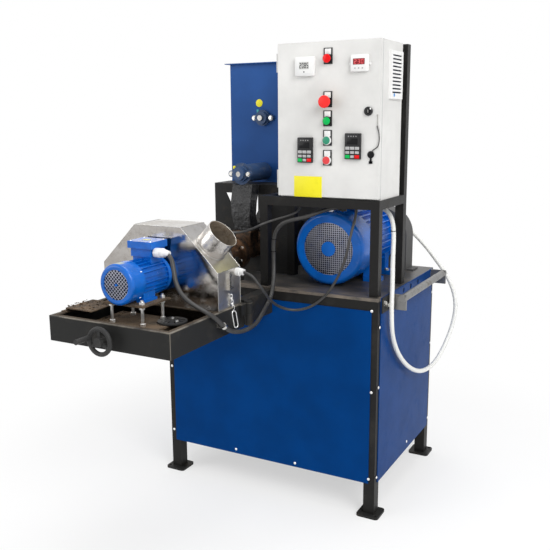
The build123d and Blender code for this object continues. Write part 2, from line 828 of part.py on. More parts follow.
def heater_bands():
    """Three heater bands round the heated section; the front one has the heater cable's gland on top."""
    bands = []
    for index in range(3):
        y = DIE_Y + BAND_FIRST + index * BAND_PITCH
        band = pipe("y", EXT_X, EXT_Z, BAND_R, BAND_R - HOT_R, y - BAND_L / 2, y + BAND_L / 2)
        band = band + slab(EXT_X, y, EAR_W, BAND_L, EXT_Z - BAND_R - EAR_H, EXT_Z - BAND_R + EAR_H / 2)
        bands.append(band)
    x, y, z = HEATER_CORD[0]
    bands[0] = bands[0] + rod("z", x, y, 2 * HEATER_CORD_R, EXT_Z + HOT_R + 6, z)
    return group(bands)


def die_plate():
    """Die plate at the end of the barrel, with a ring of die holes."""
    plate = rod("y", EXT_X, EXT_Z, DIE_R, DIE_Y, DIE_Y + DIE_T)
    for index in range(DIE_HOLES):
        angle = 2 * pi * index / DIE_HOLES
        plate = plate - rod("y", EXT_X + DIE_RING_R * cos(angle), EXT_Z + DIE_RING_R * sin(angle), DIE_HOLE_R,
                            DIE_Y - 1, DIE_Y + DIE_HOLE_DEPTH)
    return plate


def barrel_support():
    """Pedestal under the heated section, just inside the table's front edge."""
    y0, y1 = PEDESTAL_Y0, PEDESTAL_Y0 + PEDESTAL_T
    plate = block(EXT_X - PEDESTAL_W / 2, EXT_X + PEDESTAL_W / 2, y0, y1, TABLE_Z, EXT_Z)
    foot = slab(EXT_X, (y0 + y1) / 2, PEDESTAL_W + PEDESTAL_SPREAD, PEDESTAL_T + 2 * PEDESTAL_SPREAD,
                TABLE_Z, TABLE_Z + PEDESTAL_FOOT)
    return plate + foot - rod("y", EXT_X, EXT_Z, HOT_R, y0 - 1, y1 + 1)


# Hopper, feed screw and support

HOP_X0 = EXT_X - HOP_W / 2
HOP_X1 = EXT_X + HOP_W / 2
HOP_Y1 = HOP_Y0 + HOP_D


def hopper():
    """Open-topped hopper with an outward rim, and two sloping sheets inside that lead the feed to the screw."""
    outer = block(HOP_X0, HOP_X1, HOP_Y0, HOP_Y1, HOP_Z0, HOP_Z1)
    rim = block(HOP_X0 - RIM, HOP_X1 + RIM, HOP_Y0 - RIM, HOP_Y1 + RIM, HOP_Z1 - HOP_T, HOP_Z1)
    inner = block(HOP_X0 + HOP_T, HOP_X1 - HOP_T, HOP_Y0 + HOP_T, HOP_Y1 - HOP_T, HOP_Z0 + HOP_T, HOP_Z1 + 1)
    body = outer + rim - inner
    body = body - rod("y", EXT_X, AGIT_Z, SHAFT_R + 1, HOP_Y0 - 1, HOP_Y1 + 1)
    body = body - rod("y", EXT_X, SCREW_Z, TUBE_R - TUBE_T, HOP_Y0 - 1, HOP_Y0 + HOP_T + 1)
    body = body - rod("y", EXT_X, SCREW_Z, SHAFT_R + 1, HOP_Y1 - HOP_T - 1, HOP_Y1 + 1)
    low = SCREW_Z + TUBE_R
    for s in (-1, 1):
        wall = EXT_X + s * (HOP_W / 2 - HOP_T)
        foot = EXT_X + s * TUBE_R
        back = foot + s * HOP_T
        points = [(wall, low + SLOPE_RISE), (foot, low - SLOPE_SINK), (foot, HOP_Z0 + HOP_T),
                  (back, HOP_Z0 + HOP_T), (back, low - SLOPE_SINK), (wall, low + SLOPE_RISE - 2 * HOP_T)]
        body = body + prism(points, HOP_Y0 + HOP_T, HOP_Y1 - HOP_T)
    return body


def support_plate():
    """Black front plate with a V-shaped cut-out, its folded right edge and top, and two legs at the back."""
    y0, y1 = SUP_Y0, SUP_Y0 + PLATE_T
    half = INLET_SIDE / 2 + SLOT_EDGE
    plate = block(SUP_X0, SUP_X1, y0, y1, TABLE_Z, HOP_Z0)
    right = block(SUP_X1 - PLATE_T, SUP_X1, y0, y0 + FOLD, TABLE_Z, HOP_Z0)
    top = block(SUP_X0, SUP_X1, y0, HOP_Y1, HOP_Z0 - PLATE_T, HOP_Z0)
    notch = prism([(EXT_X - NOTCH_HALF, NOTCH_TOP), (EXT_X + NOTCH_HALF, NOTCH_TOP),
                   (EXT_X + NOTCH_FOOT, NOTCH_LOW), (EXT_X - NOTCH_FOOT, NOTCH_LOW)], y0 - 1, y1 + 1)
    opening = rod("y", EXT_X, EXT_Z, BARREL_R + 4, y0 - 1, y1 + 1)
    slot = block(EXT_X - half, EXT_X + half, y0 - 1, y1 + 1, TABLE_Z + SLOT_RISE, INLET_TOP + 4)
    pieces = [plate + right + top - notch - opening - slot]
    for x in (SUP_X0, SUP_X1 - POST):
        pieces.append(block(x, x + POST, HOP_Y1 - POST, HOP_Y1, TABLE_Z, HOP_Z0 - PLATE_T + 1))
    return fused(pieces)


def feed_tube():
    """Tube of the feed screw, from the hopper to the end plate over the chute."""
    tube = pipe("y", EXT_X, SCREW_Z, TUBE_R, TUBE_T, TUBE_Y0, HOP_Y0)
    end = pipe("y", EXT_X, SCREW_Z, TUBE_CAP_R, TUBE_CAP_R - SHAFT_R - 1, TUBE_Y0 - TUBE_CAP_T, TUBE_Y0)
    outlet = block(EXT_X - OUTLET_W / 2, EXT_X + OUTLET_W / 2, TUBE_Y0 + 6, TUBE_Y0 + 6 + OUTLET_L,
                   SCREW_Z - TUBE_R - 1, SCREW_Z - TUBE_R + OUTLET_RISE)
    return tube - outlet + end


def feed_screw():
    """Feed screw: its shaft, and its flight as a row of slanted discs."""
    tip = TUBE_R - TUBE_T - FLIGHT_GAP
    tilt = degrees(atan2(SCREW_PITCH / 2, 2 * tip))
    start = TUBE_Y0 + FLIGHT_START
    pieces = [rod("y", EXT_X, SCREW_Z, SHAFT_R, TUBE_Y0 - INSERT_L * 2, HOP_Y1 + SHAFT_OUT)]
    for index in range(int((HOP_Y1 - FLIGHT_END - start) / SCREW_PITCH)):
        y = start + SCREW_PITCH * (index + 0.5)
        ring = Cylinder(tip, FLIGHT_T) - Cylinder(SHAFT_R - 1, FLIGHT_T)
        pieces.append(Pos(EXT_X, y, SCREW_Z) * Rot(90 + tilt, 0, 0) * ring)
    return fused(pieces)


def agitator():
    """Agitator: shaft through the hopper with its arms."""
    pieces = [rod("y", EXT_X, AGIT_Z, SHAFT_R, HOP_Y0 - AGIT_OUT, HOP_Y1 + SHAFT_OUT)]
    for index in range(AGIT_ARMS):
        y = HOP_Y0 + AGIT_FIRST + index * AGIT_PITCH
        turn = Rot(0, 180 / AGIT_ARMS * index, 0)
        pieces.append(Pos(EXT_X, y, AGIT_Z) * turn * Cylinder(AGIT_ARM_R, AGIT_ARM_L))
    return fused(pieces)


def flange_bearing(z, y, s):
    """Two-bolt flange bearing on a wall at y, standing out to the front (-1) or the back (+1)."""
    near, far = min(y, y + s * HOUSE_T), max(y, y + s * HOUSE_T)
    ear = HOUSE_T
    pieces = [rod("y", EXT_X, z, HOUSE_R, near, far)]
    for side in (-1, 1):
        pieces.append(rod("y", EXT_X + side * HOUSE_EAR, z, ear, near, far))
    pieces.append(block(EXT_X - HOUSE_EAR, EXT_X + HOUSE_EAR, near, far, z - ear, z + ear))
    pieces.append(rod("y", EXT_X, z, INSERT_R, y + s * (HOUSE_T - 1), y + s * (HOUSE_T - 1 + INSERT_L)))
    return fused(pieces) - rod("y", EXT_X, z, SHAFT_R + RUN, y - s, y + s * (HOUSE_T + INSERT_L + 1))


def bearing_units():
    """Bearings of the agitator and of the feed screw."""
    return group([flange_bearing(AGIT_Z, HOP_Y0, -1), flange_bearing(SCREW_Z, TUBE_Y0 - TUBE_CAP_T, -1),
                  flange_bearing(AGIT_Z, HOP_Y1, 1), flange_bearing(SCREW_Z, HOP_Y1, 1)])


def chute():
    """Bent rectangular duct from the feed tube down to the barrel's inlet."""
    top = SCREW_Z - TUBE_R - CHUTE_GAP
    low, high = [INLET_TOP + part * (top - INLET_TOP) for part in CHUTE_BENDS]
    stations = [(CHUTE_BACK, top, CHUTE_DEEP + CHUTE_GROW, CHUTE_W), (CHUTE_FRONT, high, CHUTE_DEEP, CHUTE_W),
                (CHUTE_FRONT, low, CHUTE_DEEP, CHUTE_NECK),
                (INLET_Y, INLET_TOP, INLET_SIDE, INLET_SIDE + CHUTE_GAP)]

    def duct(grow):
        return loft([Pos(EXT_X, y, z) * Rectangle(wide + grow, deep + grow) for y, z, deep, wide in stations],
                    ruled=True)
    return duct(0) - duct(-2 * CHUTE_T)


# Cutter unit

HINGE_CAP = TRAY_Z1 + PIN_OUT


def hinge_arm():
    """Arm from the base front to the cutter's hinge, with the lower knuckle and the pin."""
    top = HINGE_MID - SPLIT
    return fused([
        block(ARM_X0, ARM_X1, ARM_Y0, -HALF_D - PANEL_T, TRAY_Z0 - ARM_SINK, TRAY_Z1),
        block(ARM_X1 - 1, HINGE_X, HINGE_Y, HINGE_Y + LUG_L, HINGE_Z0, top),
        rod("z", HINGE_X, HINGE_Y, HINGE_R, HINGE_Z0, top),
        rod("z", HINGE_X, HINGE_Y, HINGE_PIN_R, top - 1, HINGE_CAP - 1),
        rod("z", HINGE_X, HINGE_Y, HINGE_R, TRAY_Z1 + SPLIT, HINGE_CAP),
    ])


WHEEL_X = EXT_X
WHEEL_Y = TRAY_Y0 - WHEEL_OUT
RAIL_Y0 = CARRIAGE_Y0 - RAIL_FRONT


def cutter_tray():
    """Open folded tray with an inward lip, two slide rails on its floor, and the upper hinge knuckle."""
    outer = block(TRAY_X0, TRAY_X1, TRAY_Y0, TRAY_Y1, TRAY_Z0, TRAY_Z1)
    inner = block(TRAY_X0 + TRAY_T, TRAY_X1 - TRAY_T, TRAY_Y0 + TRAY_T, TRAY_Y1 - TRAY_T,
                  TRAY_Z0 + TRAY_T, TRAY_Z1 - TRAY_T)
    mouth = block(TRAY_X0 + TRAY_LIP, TRAY_X1 - TRAY_LIP, TRAY_Y0 + TRAY_LIP, HOU_Y0 - MOUTH_GAP,
                  TRAY_Z1 - MOUTH_DEPTH, TRAY_Z1 + 1)
    spindle = rod("y", WHEEL_X, WHEEL_Z, SPINDLE_R + 1, TRAY_Y0 - 1, TRAY_Y0 + TRAY_T + 1)
    tray = outer - inner - mouth - spindle
    for s in (-1, 1):
        x = EXT_X + s * RAIL_X
        tray = tray + block(x - RAIL_W / 2, x + RAIL_W / 2, RAIL_Y0, RAIL_Y0 + RAIL_L,
                            TRAY_Z0 + TRAY_T / 2, CARRIAGE_Z - CARRIAGE_T)
    knuckle = rod("z", HINGE_X, HINGE_Y, HINGE_R, HINGE_MID, TRAY_Z1)
    lug = block(TRAY_X1 - 1, HINGE_X, TRAY_Y1 - LUG_L + 3, HINGE_Y, HINGE_MID, TRAY_Z1)
    bore = rod("z", HINGE_X, HINGE_Y, HINGE_PIN_R + RUN, HINGE_MID - 1, TRAY_Z1 + 1)
    return tray + lug + knuckle - bore


def tray_cover():
    """Raised cover plate over the tray's front left corner, on a folded foot."""
    top = TRAY_Z1 + COVER_RISE
    foot = block(TRAY_X0 + 2, COVER_X0 + COVER_T, COVER_Y0, COVER_Y1, TRAY_Z1, TRAY_Z1 + COVER_T)
    riser = block(COVER_X0, COVER_X0 + COVER_T, COVER_Y0, COVER_Y1, TRAY_Z1, top)
    plate = block(COVER_X0, COVER_X1, COVER_Y0, COVER_Y1, top - COVER_T, top)
    return foot + riser + plate


def housing_outline(grow):
    """The housing's outline: a box with its two upper corners cut at 45 degrees."""
    x0, x1 = HOU_X0 - grow, HOU_X1 + grow
    cut = HOU_CUT + grow * (2 - sqrt(2))
    z0, z1 = TRAY_Z1 - grow, HOU_Z1 + grow
    return [(x0, z0), (x1, z0), (x1, z1 - cut), (x1 - cut, z1), (x0 + cut, z1), (x0, z1 - cut)]


SPOUT_X = HOU_X1 - HOU_CUT / 2
SPOUT_Z = HOU_Z1 - HOU_CUT / 2
SPOUT_Y = (HOU_Y0 + HOU_Y1) / 2
SPOUT_POS = Pos(SPOUT_X, SPOUT_Y, SPOUT_Z) * Rot(0, 45, 0)


def cutter_housing():
    """Stainless housing: open inside, with a motor hole in front and a die hole at the back."""
    shell = prism(housing_outline(0), HOU_Y0, HOU_Y1)
    shell = shell - prism(housing_outline(-HOU_T), HOU_Y0 + HOU_T, HOU_Y1 - HOU_T)
    shell = shell - rod("y", EXT_X, CUT_Z, MOTOR_HOLE_R, HOU_Y0 - 1, HOU_Y0 + HOU_T + 1)
    shell = shell - rod("y", EXT_X, EXT_Z, DIE_HOLE, HOU_Y1 - HOU_T - 1, HOU_Y1 + 1)
    return shell - SPOUT_POS * Cylinder(SPOUT_R - SPOUT_T, 20)


def spout():
    """Round outlet tube on the housing's right 45 degree face."""
    return SPOUT_POS * Pos(0, 0, SPOUT_LEN / 2) * (Cylinder(SPOUT_R, SPOUT_LEN)
                                                   - Cylinder(SPOUT_R - SPOUT_T, SPOUT_LEN + 2))


def housing_latch():
    """Plate of the toggle latch on the housing's right side."""
    return block(HOU_X1, HOU_X1 + LATCH_T, LATCH_Y - LATCH_W / 2, LATCH_Y + LATCH_W / 2,
                 LATCH_Z - LATCH_H / 2, LATCH_Z + LATCH_H / 2)


def carriage():
    """Slide plate in the tray with its spindle nut."""
    y1 = CARRIAGE_Y0 + CARRIAGE_L
    nut_y = CARRIAGE_Y0 + NUT_FRONT
    plate = block(EXT_X - CARRIAGE_W / 2, EXT_X + CARRIAGE_W / 2, CARRIAGE_Y0, y1,
                  CARRIAGE_Z - CARRIAGE_T, CARRIAGE_Z)
    nut = block(EXT_X - NUT_W / 2, EXT_X + NUT_W / 2, nut_y, nut_y + NUT_L, WHEEL_Z - NUT_W / 2, CARRIAGE_Z - 1)
    return plate + nut - rod("y", WHEEL_X, WHEEL_Z, SPINDLE_R + RUN, nut_y - 1, nut_y + NUT_L + 1)


MOTOR_PLATE_Z = CUT_Z - CUT_SHAFT_H
STUDS = [(EXT_X + s * STUD_X, y) for s in (-1, 1) for y in STUD_Y]


def motor_plate():
    """Plate under the cutter motor."""
    plate = block(EXT_X - MOTOR_PLATE_W / 2, EXT_X + MOTOR_PLATE_W / 2,
                  STUD_Y[0] - STUD_EDGE, STUD_Y[1] + STUD_EDGE,
                  MOTOR_PLATE_Z - MOTOR_PLATE_T, MOTOR_PLATE_Z)
    for x, y in STUDS:
        plate = plate - rod("z", x, y, STUD_R + 0.3, MOTOR_PLATE_Z - 2 * MOTOR_PLATE_T, MOTOR_PLATE_Z + 1)
    return plate


def motor_studs():
    """Four threaded studs with nuts that set the cutter motor's height."""
    studs = []
    for x, y in STUDS:
        stud = rod("z", x, y, STUD_R, CARRIAGE_Z, MOTOR_PLATE_Z + STUD_TOP)
        for z in (CARRIAGE_Z, MOTOR_PLATE_Z - MOTOR_PLATE_T - NUT_H, MOTOR_PLATE_Z):
            stud = stud + Pos(x, y, z) * extrude(RegularPolygon(NUT_R, 6), NUT_H)
        studs.append(stud)
    return group(studs)


CUT_Y1 = CUT_Y0 + CUT_LEN
BOX_Z = CUT_Z + CUT_R + 2


def cutter_motor():
    """Small finned motor with feet and a shaft into the housing."""
    y0 = CUT_Y0 + CUT_COWL - 10
    y_foot = (STUD_Y[0] + STUD_Y[1]) / 2
    body = finned_body(EXT_X, CUT_Z, CUT_R - 3, y0 + CUT_FIN_H, CUT_Y1 - CUT_SHIELD + 2, CUT_FINS, CUT_FIN_H)
    rear = rod("y", EXT_X, CUT_Z, CUT_R - COWL_T - RUN, y0, y0 + 10)
    front = rod("y", EXT_X, CUT_Z, CUT_R - 4, CUT_Y1 - CUT_SHIELD, CUT_Y1)
    feet = []
    for s in (-1, 1):
        x = EXT_X + s * CUT_FOOT_X
        feet.append(slab(x, y_foot, CUT_WEB_W, CUT_WEB_L, MOTOR_PLATE_Z, CUT_Z - 20))
        feet.append(slab(x, y_foot, CUT_FOOT_W, CUT_FOOT_L, MOTOR_PLATE_Z, MOTOR_PLATE_Z + CUT_FOOT_T))
    pad = slab(EXT_X, TERMINAL_Y, TERMINAL_W - CUT_FOOT_T, TERMINAL_L - CUT_FOOT_T, CUT_Z + 40, BOX_Z)
    return fused([body, rear, front, pad] + feet)


def cutter_cowl():
    """Fan cowl of the cutter motor."""
    return fan_cowl(EXT_X, CUT_Z, CUT_R, CUT_Y0, CUT_Y0 + CUT_COWL,
                    CUT_FACE, CUT_ROUND, CUT_GRILLE_R, CUT_HUB_R)


def cutter_terminal_box():
    """Terminal box on the cutter motor, with a lid."""
    top = BOX_Z + TERMINAL_H
    return (slab(EXT_X, TERMINAL_Y, TERMINAL_W, TERMINAL_L, BOX_Z, top)
            + slab(EXT_X, TERMINAL_Y - 1.5, LID_W, LID_L - 1, top, top + LID_T))


def cutter_gland():
    """White gland on the terminal box's right side."""
    x0 = EXT_X + TERMINAL_W / 2
    return rod("x", TERMINAL_Y - GLAND_BACK, BOX_Z + TERMINAL_H - GLAND_DROP, GLAND_R, x0, x0 + GLAND_L)


def cutter_knife():
    """Cutter shaft and knife head in front of the die."""
    y1 = DIE_Y - KNIFE_GAP
    pieces = [rod("y", EXT_X, CUT_Z, CUT_SHAFT_R, CUT_Y1, y1 - 4),
              rod("y", EXT_X, CUT_Z, HUB_HEAD_R, y1 - HUB_HEAD_L - 2, y1 - 2)]
    for index in range(BLADES):
        turn = Pos(EXT_X, y1 - BLADE_T / 2, CUT_Z) * Rot(0, 360 / BLADES * index, 0)
        pieces.append(turn * Pos(BLADE_OUT, 0, 0) * Box(BLADE_L, BLADE_T, BLADE_W))
    return fused(pieces)


def handwheel():
    """Spoked handwheel with a crank handle and its spindle."""
    centre = Pos(WHEEL_X, WHEEL_Y, WHEEL_Z)
    pieces = [centre * Rot(90, 0, 0) * Torus(WHEEL_R - WHEEL_RIM, WHEEL_RIM),
              rod("y", WHEEL_X, WHEEL_Z, WHEEL_HUB_R, WHEEL_Y - WHEEL_HUB_R + 2, WHEEL_Y + WHEEL_HUB_R)]
    for index in range(SPOKES):
        turn = centre * Rot(0, 360 / SPOKES * index + 30, 0)
        pieces.append(turn * Pos(WHEEL_R / 2 - 4, 0, 0) * Box(WHEEL_R - 12, SPOKE_W, SPOKE_T))
    pieces.append(rod("y", WHEEL_X - WHEEL_R + WHEEL_RIM, WHEEL_Z + CRANK_R, CRANK_R,
                      WHEEL_Y - CRANK_L, WHEEL_Y))
    pieces.append(rod("y", WHEEL_X, WHEEL_Z, SPINDLE_R, WHEEL_Y, TRAY_Y0 + SPINDLE_IN))
    return fused(pieces)


def cord_clip():
    """Clip on the tray's right wall that holds the motor cable."""
    x, y, z = MOTOR_CORD[-1]
    along = Vector(*MOTOR_CORD[-1]) - Vector(*MOTOR_CORD[-2])
    seat = Plane(origin=(x, y, z), z_dir=along)
    ring = seat * Cylinder(MOTOR_CORD_R + CLIP_WALL, CLIP_W)
    hole = seat * Cylinder(MOTOR_CORD_R + RUN, 2 * CLIP_W)
    foot = block(TRAY_X1, x, y - CLIP_W / 2, y + CLIP_W / 2, z - CLIP_FOOT / 2, z + CLIP_FOOT / 2)
    return ring + foot - hole


def sensor_plug():
    """White plug at the back right corner of the housing."""
    body = rod("x", HOU_Y1 - PLUG_IN, TRAY_Z1 + PLUG_RISE, PLUG_R, HOU_X1, HOU_X1 + PLUG_L / 2)
    return body + nose(SENSOR_CORD[1], SENSOR_CORD[0], SMALL_GLAND_R, PLUG_L / 2 + 2)


# Cords

MOTOR_CORD = [(-127, -729, 948), (-101, -729, 948), (-80, -733, 934), (-68, -742, 903), (-56, -751, 866),
              (-30, -757, 831), (10, -754, 804), (48, -735, 781), (63, -704, 751), (65, -678, 729)]
SWING_CORD = [(65, -678, 729), (67, -652, 707), (76, -602, 692), (82, -550, 692), (80, -500, 698),
              (70, -448, 715), (58, -395, 730), (50, -345, 752), (38, -308, 793), (28, -286, 837), (24, -280, 885),
              (24, -280, 930), (36, -284, 970), (64, -285, 998), (102, -280, 1010), (144, -268, 1020),
              (180, -248, 1035), (210, -233, 1048), (240, -226, 1052)]
SENSOR_CORD = [(61, -547, 872), (85, -547, 867), (101, -538, 847), (108, -510, 812), (100, -448, 764),
               (101, -385, 727), (135, -345, 709), (188, -330, 722), (239, -320, 762), (277, -312, 822), (302, -302, 887),
               (312, -292, 950), (312, -268, 990), (312, -242, 1022), (312, -236, 1045), (312, -236, 1066)]
HEATER_CORD = [(-187, -455, 918), (-187, -455, 938), (-174, -460, 960), (-144, -470, 976), (-98, -476, 983),
               (-54, -470, 981), (-26, -440, 978), (-15, -396, 979), (-14, -350, 982), (-6, -314, 990),
               (18, -298, 1001), (48, -284, 1011), (76, -266, 1020), (99, -249, 1031), (110, -239, 1047),
               (112, -236, 1066)]
HOSE = [(263, -25, 1046), (300, -30, 1042), (340, -44, 1034), (370, -62, 1014), (386, -78, 984), (393, -90, 945),
        (398, -106, 902), (408, -136, 864), (421, -172, 832), (433, -206, 796), (440, -228, 752), (442, -233, 700),
        (441, -222, 645), (438, -185, 590), (438, -130, 533), (444, -65, 480), (452, 10, 438), (460, 85, 415),
        (468, 160, 412), (478, 225, 432), (489, 280, 476), (500, 318, 530), (507, 338, 588), (503, 348, 640),
        (485, 350, 695), (458, 345, 745), (424, 338, 792), (388, 336, 836), (356, 334, 870), (331, 325, 896),
        (316, 306, 914), (311, 282, 922)]


def motor_cord():
    """Cable of the cutter motor, from its gland down to the clip on the tray."""
    return cord("motor_cord", MOTOR_CORD, MOTOR_CORD_R)


def swing_cord():
    """The same cable from the clip, in a loop across the hinge and up to the cabinet's elbow gland."""
    return cord("swing_cord", SWING_CORD, MOTOR_CORD_R)


def sensor_cord():
    """Cable from the housing's plug, in a loop across the hinge and up to the cabinet."""
    return cord("sensor_cord", SENSOR_CORD, SENSOR_CORD_R)


def heater_cord():
    """Cable from the front heater band over the housing and round the stand's post to the cabinet."""
    return cord("heater_cord", HEATER_CORD, HEATER_CORD_R)


def white_hose():
    """White hose from the main motor's terminal box, in a loop beside the base, to the belt guard's back."""
    return cord("white_hose", HOSE, HOSE_R)


NODES = [
    base_legs, foot_plates, base_rails, table_top, base_panels, corner_plate, push_bar,
    stand_posts, stand_rails, cabinet_box, mounting_plate, cabinet_hinges, cabinet_door, legend_holders,
    push_buttons, drive_keypads, door_meters, door_lock, vent_grille, cabinet_glands,
    main_motor, main_cowl, main_terminal_box, belt_guard,
    gearbox, barrel_rear, barrel_front, heater_bands, die_plate, barrel_support,
    hopper, support_plate, feed_tube, feed_screw, agitator, bearing_units, chute,
    hinge_arm, cutter_tray, tray_cover, cutter_housing, spout, housing_latch, carriage, motor_plate, motor_studs,
    cutter_motor, cutter_cowl, cutter_terminal_box, cutter_gland, cutter_knife, handwheel, sensor_plug, cord_clip,
    motor_cord, swing_cord, sensor_cord, heater_cord, white_hose,
]

os.makedirs("parts", exist_ok=True)
for node in NODES:
    export_step(node(), f"parts/{node.__name__}.step")
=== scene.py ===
"""Looks of the feed extruder: camera and light, cords, the small pieces and the finish of every surface."""
import bpy
from math import cos, pi, radians, sin, sqrt, tau
from mathutils import Matrix, Vector
from random import Random


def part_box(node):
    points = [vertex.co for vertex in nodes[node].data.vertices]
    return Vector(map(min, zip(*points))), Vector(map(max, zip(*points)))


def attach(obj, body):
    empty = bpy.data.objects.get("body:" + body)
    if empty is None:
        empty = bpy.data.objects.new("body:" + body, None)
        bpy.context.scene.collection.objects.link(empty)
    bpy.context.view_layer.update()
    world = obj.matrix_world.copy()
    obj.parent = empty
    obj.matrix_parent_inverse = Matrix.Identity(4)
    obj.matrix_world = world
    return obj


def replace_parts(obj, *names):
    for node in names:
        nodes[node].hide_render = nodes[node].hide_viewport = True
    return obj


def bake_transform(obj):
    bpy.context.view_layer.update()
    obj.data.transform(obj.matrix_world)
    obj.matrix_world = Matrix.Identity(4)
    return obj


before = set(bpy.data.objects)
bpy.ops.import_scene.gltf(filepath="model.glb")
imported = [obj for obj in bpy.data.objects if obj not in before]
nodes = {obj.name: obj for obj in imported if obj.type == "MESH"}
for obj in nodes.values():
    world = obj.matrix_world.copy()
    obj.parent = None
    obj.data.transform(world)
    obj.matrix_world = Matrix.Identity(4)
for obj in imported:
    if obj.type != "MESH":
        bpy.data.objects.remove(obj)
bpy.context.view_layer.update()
bpy.ops.object.select_all(action="DESELECT")

# Places that several pieces share, in metres

SHAFT_X = -0.187
CUTTER_SHAFT_Z = 0.869
SPOUT_CENTRE = Vector((-0.0315, -0.593, 0.9525))
SPOUT_WAY = Vector((1, 0, 1)).normalized()


# Camera, solved from the photograph's box edges

CAMERA_PLACE = (1.256, -2.559, 1.346)
CAMERA_TURN = radians(28.3)
CAMERA_DOWN = radians(11.68)
CAMERA_ROLL = radians(-0.37)
FOCAL_PIXELS = 756.25
FRAME_PIXELS = 550
SENSOR_WIDTH = 36.0


def set_camera():
    """A camera at the photograph's place and angle."""
    bpy.ops.object.camera_add()
    camera = bpy.context.object
    camera.data.sensor_width = SENSOR_WIDTH
    camera.data.lens = SENSOR_WIDTH * FOCAL_PIXELS / FRAME_PIXELS
    turn = Matrix.Rotation(CAMERA_TURN, 4, "Z") @ Matrix.Rotation(pi / 2 - CAMERA_DOWN, 4, "X")
    camera.matrix_world = Matrix.Translation(CAMERA_PLACE) @ turn @ Matrix.Rotation(CAMERA_ROLL, 4, "Z")
    bpy.context.scene.camera = camera


# Shader maths

class Wire:
    """A shader socket that takes part in Python arithmetic."""

    def __init__(self, tree, socket):
        self.tree = tree
        self.socket = socket

    def math(self, operation, other, swap=False, clamp=False):
        """One Math node on this socket and another value."""
        node = self.tree.nodes.new("ShaderNodeMath")
        node.operation = operation
        node.use_clamp = clamp
        for index, term in enumerate([other, self] if swap else [self, other]):
            if isinstance(term, Wire):
                self.tree.links.new(term.socket, node.inputs[index])
            else:
                node.inputs[index].default_value = term
        return Wire(self.tree, node.outputs[0])

    def __add__(self, other):
        return self.math("ADD", other)

    def __sub__(self, other):
        return self.math("SUBTRACT", other)

    def __rsub__(self, other):
        return self.math("SUBTRACT", other, swap=True)

    def __mul__(self, other):
        return self.math("MULTIPLY", other)

    def above(self, low, high):
        """0 under low, 1 over high, and a smooth step between."""
        node = self.tree.nodes.new("ShaderNodeMapRange")
        node.interpolation_type = "SMOOTHSTEP"
        self.tree.links.new(self.socket, node.inputs["Value"])
        node.inputs["From Min"].default_value = low
        node.inputs["From Max"].default_value = high
        return Wire(self.tree, node.outputs["Result"])

    def within(self, start, stop):
        """1 between two soft edges, each given by its begin and end, and 0 outside them."""
        return self.above(*start) * (1 - self.above(*stop))

    def clamped(self):
        """The value kept between 0 and 1."""
        return self.math("ADD", 0.0, clamp=True)


# A Mix node's colour sockets, which share their names with its sockets of other types
MIX_COLOURS = (6, 7)
MIX_RESULT = 2


class Finish:
    """A material with one Principled shader, built up socket by socket."""

    def __init__(self, name, **fixed):
        self.material = bpy.data.materials.new(name)
        self.material.use_nodes = True
        self.tree = self.material.node_tree
        self.shader = self.tree.nodes["Principled BSDF"]
        for socket, value in fixed.items():
            self.shader.inputs[socket.replace("_", " ")].default_value = value

    def node(self, kind, inputs=None, out=0):
        """One output of a new node whose sockets get values or links."""
        node = self.tree.nodes.new(kind)
        for key, value in (inputs or {}).items():
            if isinstance(value, Wire):
                self.tree.links.new(value.socket, node.inputs[key])
            else:
                node.inputs[key].default_value = value
        return Wire(self.tree, node.outputs[out])

    def place(self, stretch=(1, 1, 1)):
        """Object coordinates, stretched."""
        coords = self.node("ShaderNodeTexCoord", out="Object")
        return self.node("ShaderNodeMapping", {"Vector": coords, "Scale": stretch})

    def noise(self, scale, detail=3.0, stretch=(1, 1, 1), rough=0.55):
        """Noise on Object coordinates, with a scale per metre."""
        settings = {"Vector": self.place(stretch), "Scale": scale, "Detail": detail, "Roughness": rough}
        return self.node("ShaderNodeTexNoise", settings)

    def axis(self, name):
        """One Object coordinate in metres."""
        return self.node("ShaderNodeSeparateXYZ", {"Vector": self.place()}, name)

    def blend(self, mask, low, high):
        """A colour that goes from low to high with the mask."""
        mix = self.tree.nodes.new("ShaderNodeMix")
        mix.data_type = "RGBA"
        self.tree.links.new(mask.socket, mix.inputs["Factor"])
        for key, value in zip(MIX_COLOURS, (low, high)):
            if isinstance(value, Wire):
                self.tree.links.new(value.socket, mix.inputs[key])
            else:
                mix.inputs[key].default_value = (*value, 1)
        return Wire(self.tree, mix.outputs[MIX_RESULT])

    def set(self, socket, value):
        """Links a wire to one of the shader's sockets."""
        self.tree.links.new(value.socket, self.shader.inputs[socket])

    def colour(self, value):
        """Links the base colour."""
        self.set("Base Color", value)

    def rough(self, value):
        """Links the roughness, kept between 0 and 1."""
        self.set("Roughness", value.clamped())

    def bump(self, height, distance):
        """Relief of the given depth in metres."""
        settings = {"Height": height, "Distance": distance, "Strength": 1.0}
        self.set("Normal", self.node("ShaderNodeBump", settings, "Normal"))


# Finishes

ORANGE_PEEL = 0.00012
ENAMEL_BLUE = (0.0015, 0.14, 0.6)
HOUSING_FACE = (-0.6575, -0.6565)


def darker(colour, factor):
    """A colour with every channel scaled down."""
    return tuple(factor * channel for channel in colour)


def powder_coat(name, colour, dirt, gloss, grain=900.0, patch=7.0, amount=0.25, shine=0.3):
    """Powder-coated sheet: orange peel, slow colour drift and faint dirt."""
    skin = Finish(name, Specular_IOR_Level=shine)
    drift = skin.noise(patch, 5.0)
    grime = skin.noise(3 * patch, 8.0, rough=0.7).above(0.52, 0.75)
    base = skin.blend(drift.above(0.3, 0.7), colour, darker(colour, 0.82))
    skin.colour(skin.blend(grime * amount, base, dirt))
    skin.rough(drift * 0.12 + gloss + grime * 0.12)
    skin.bump(skin.noise(grain, 2.0) + drift * 0.4, ORANGE_PEEL)
    return skin.material


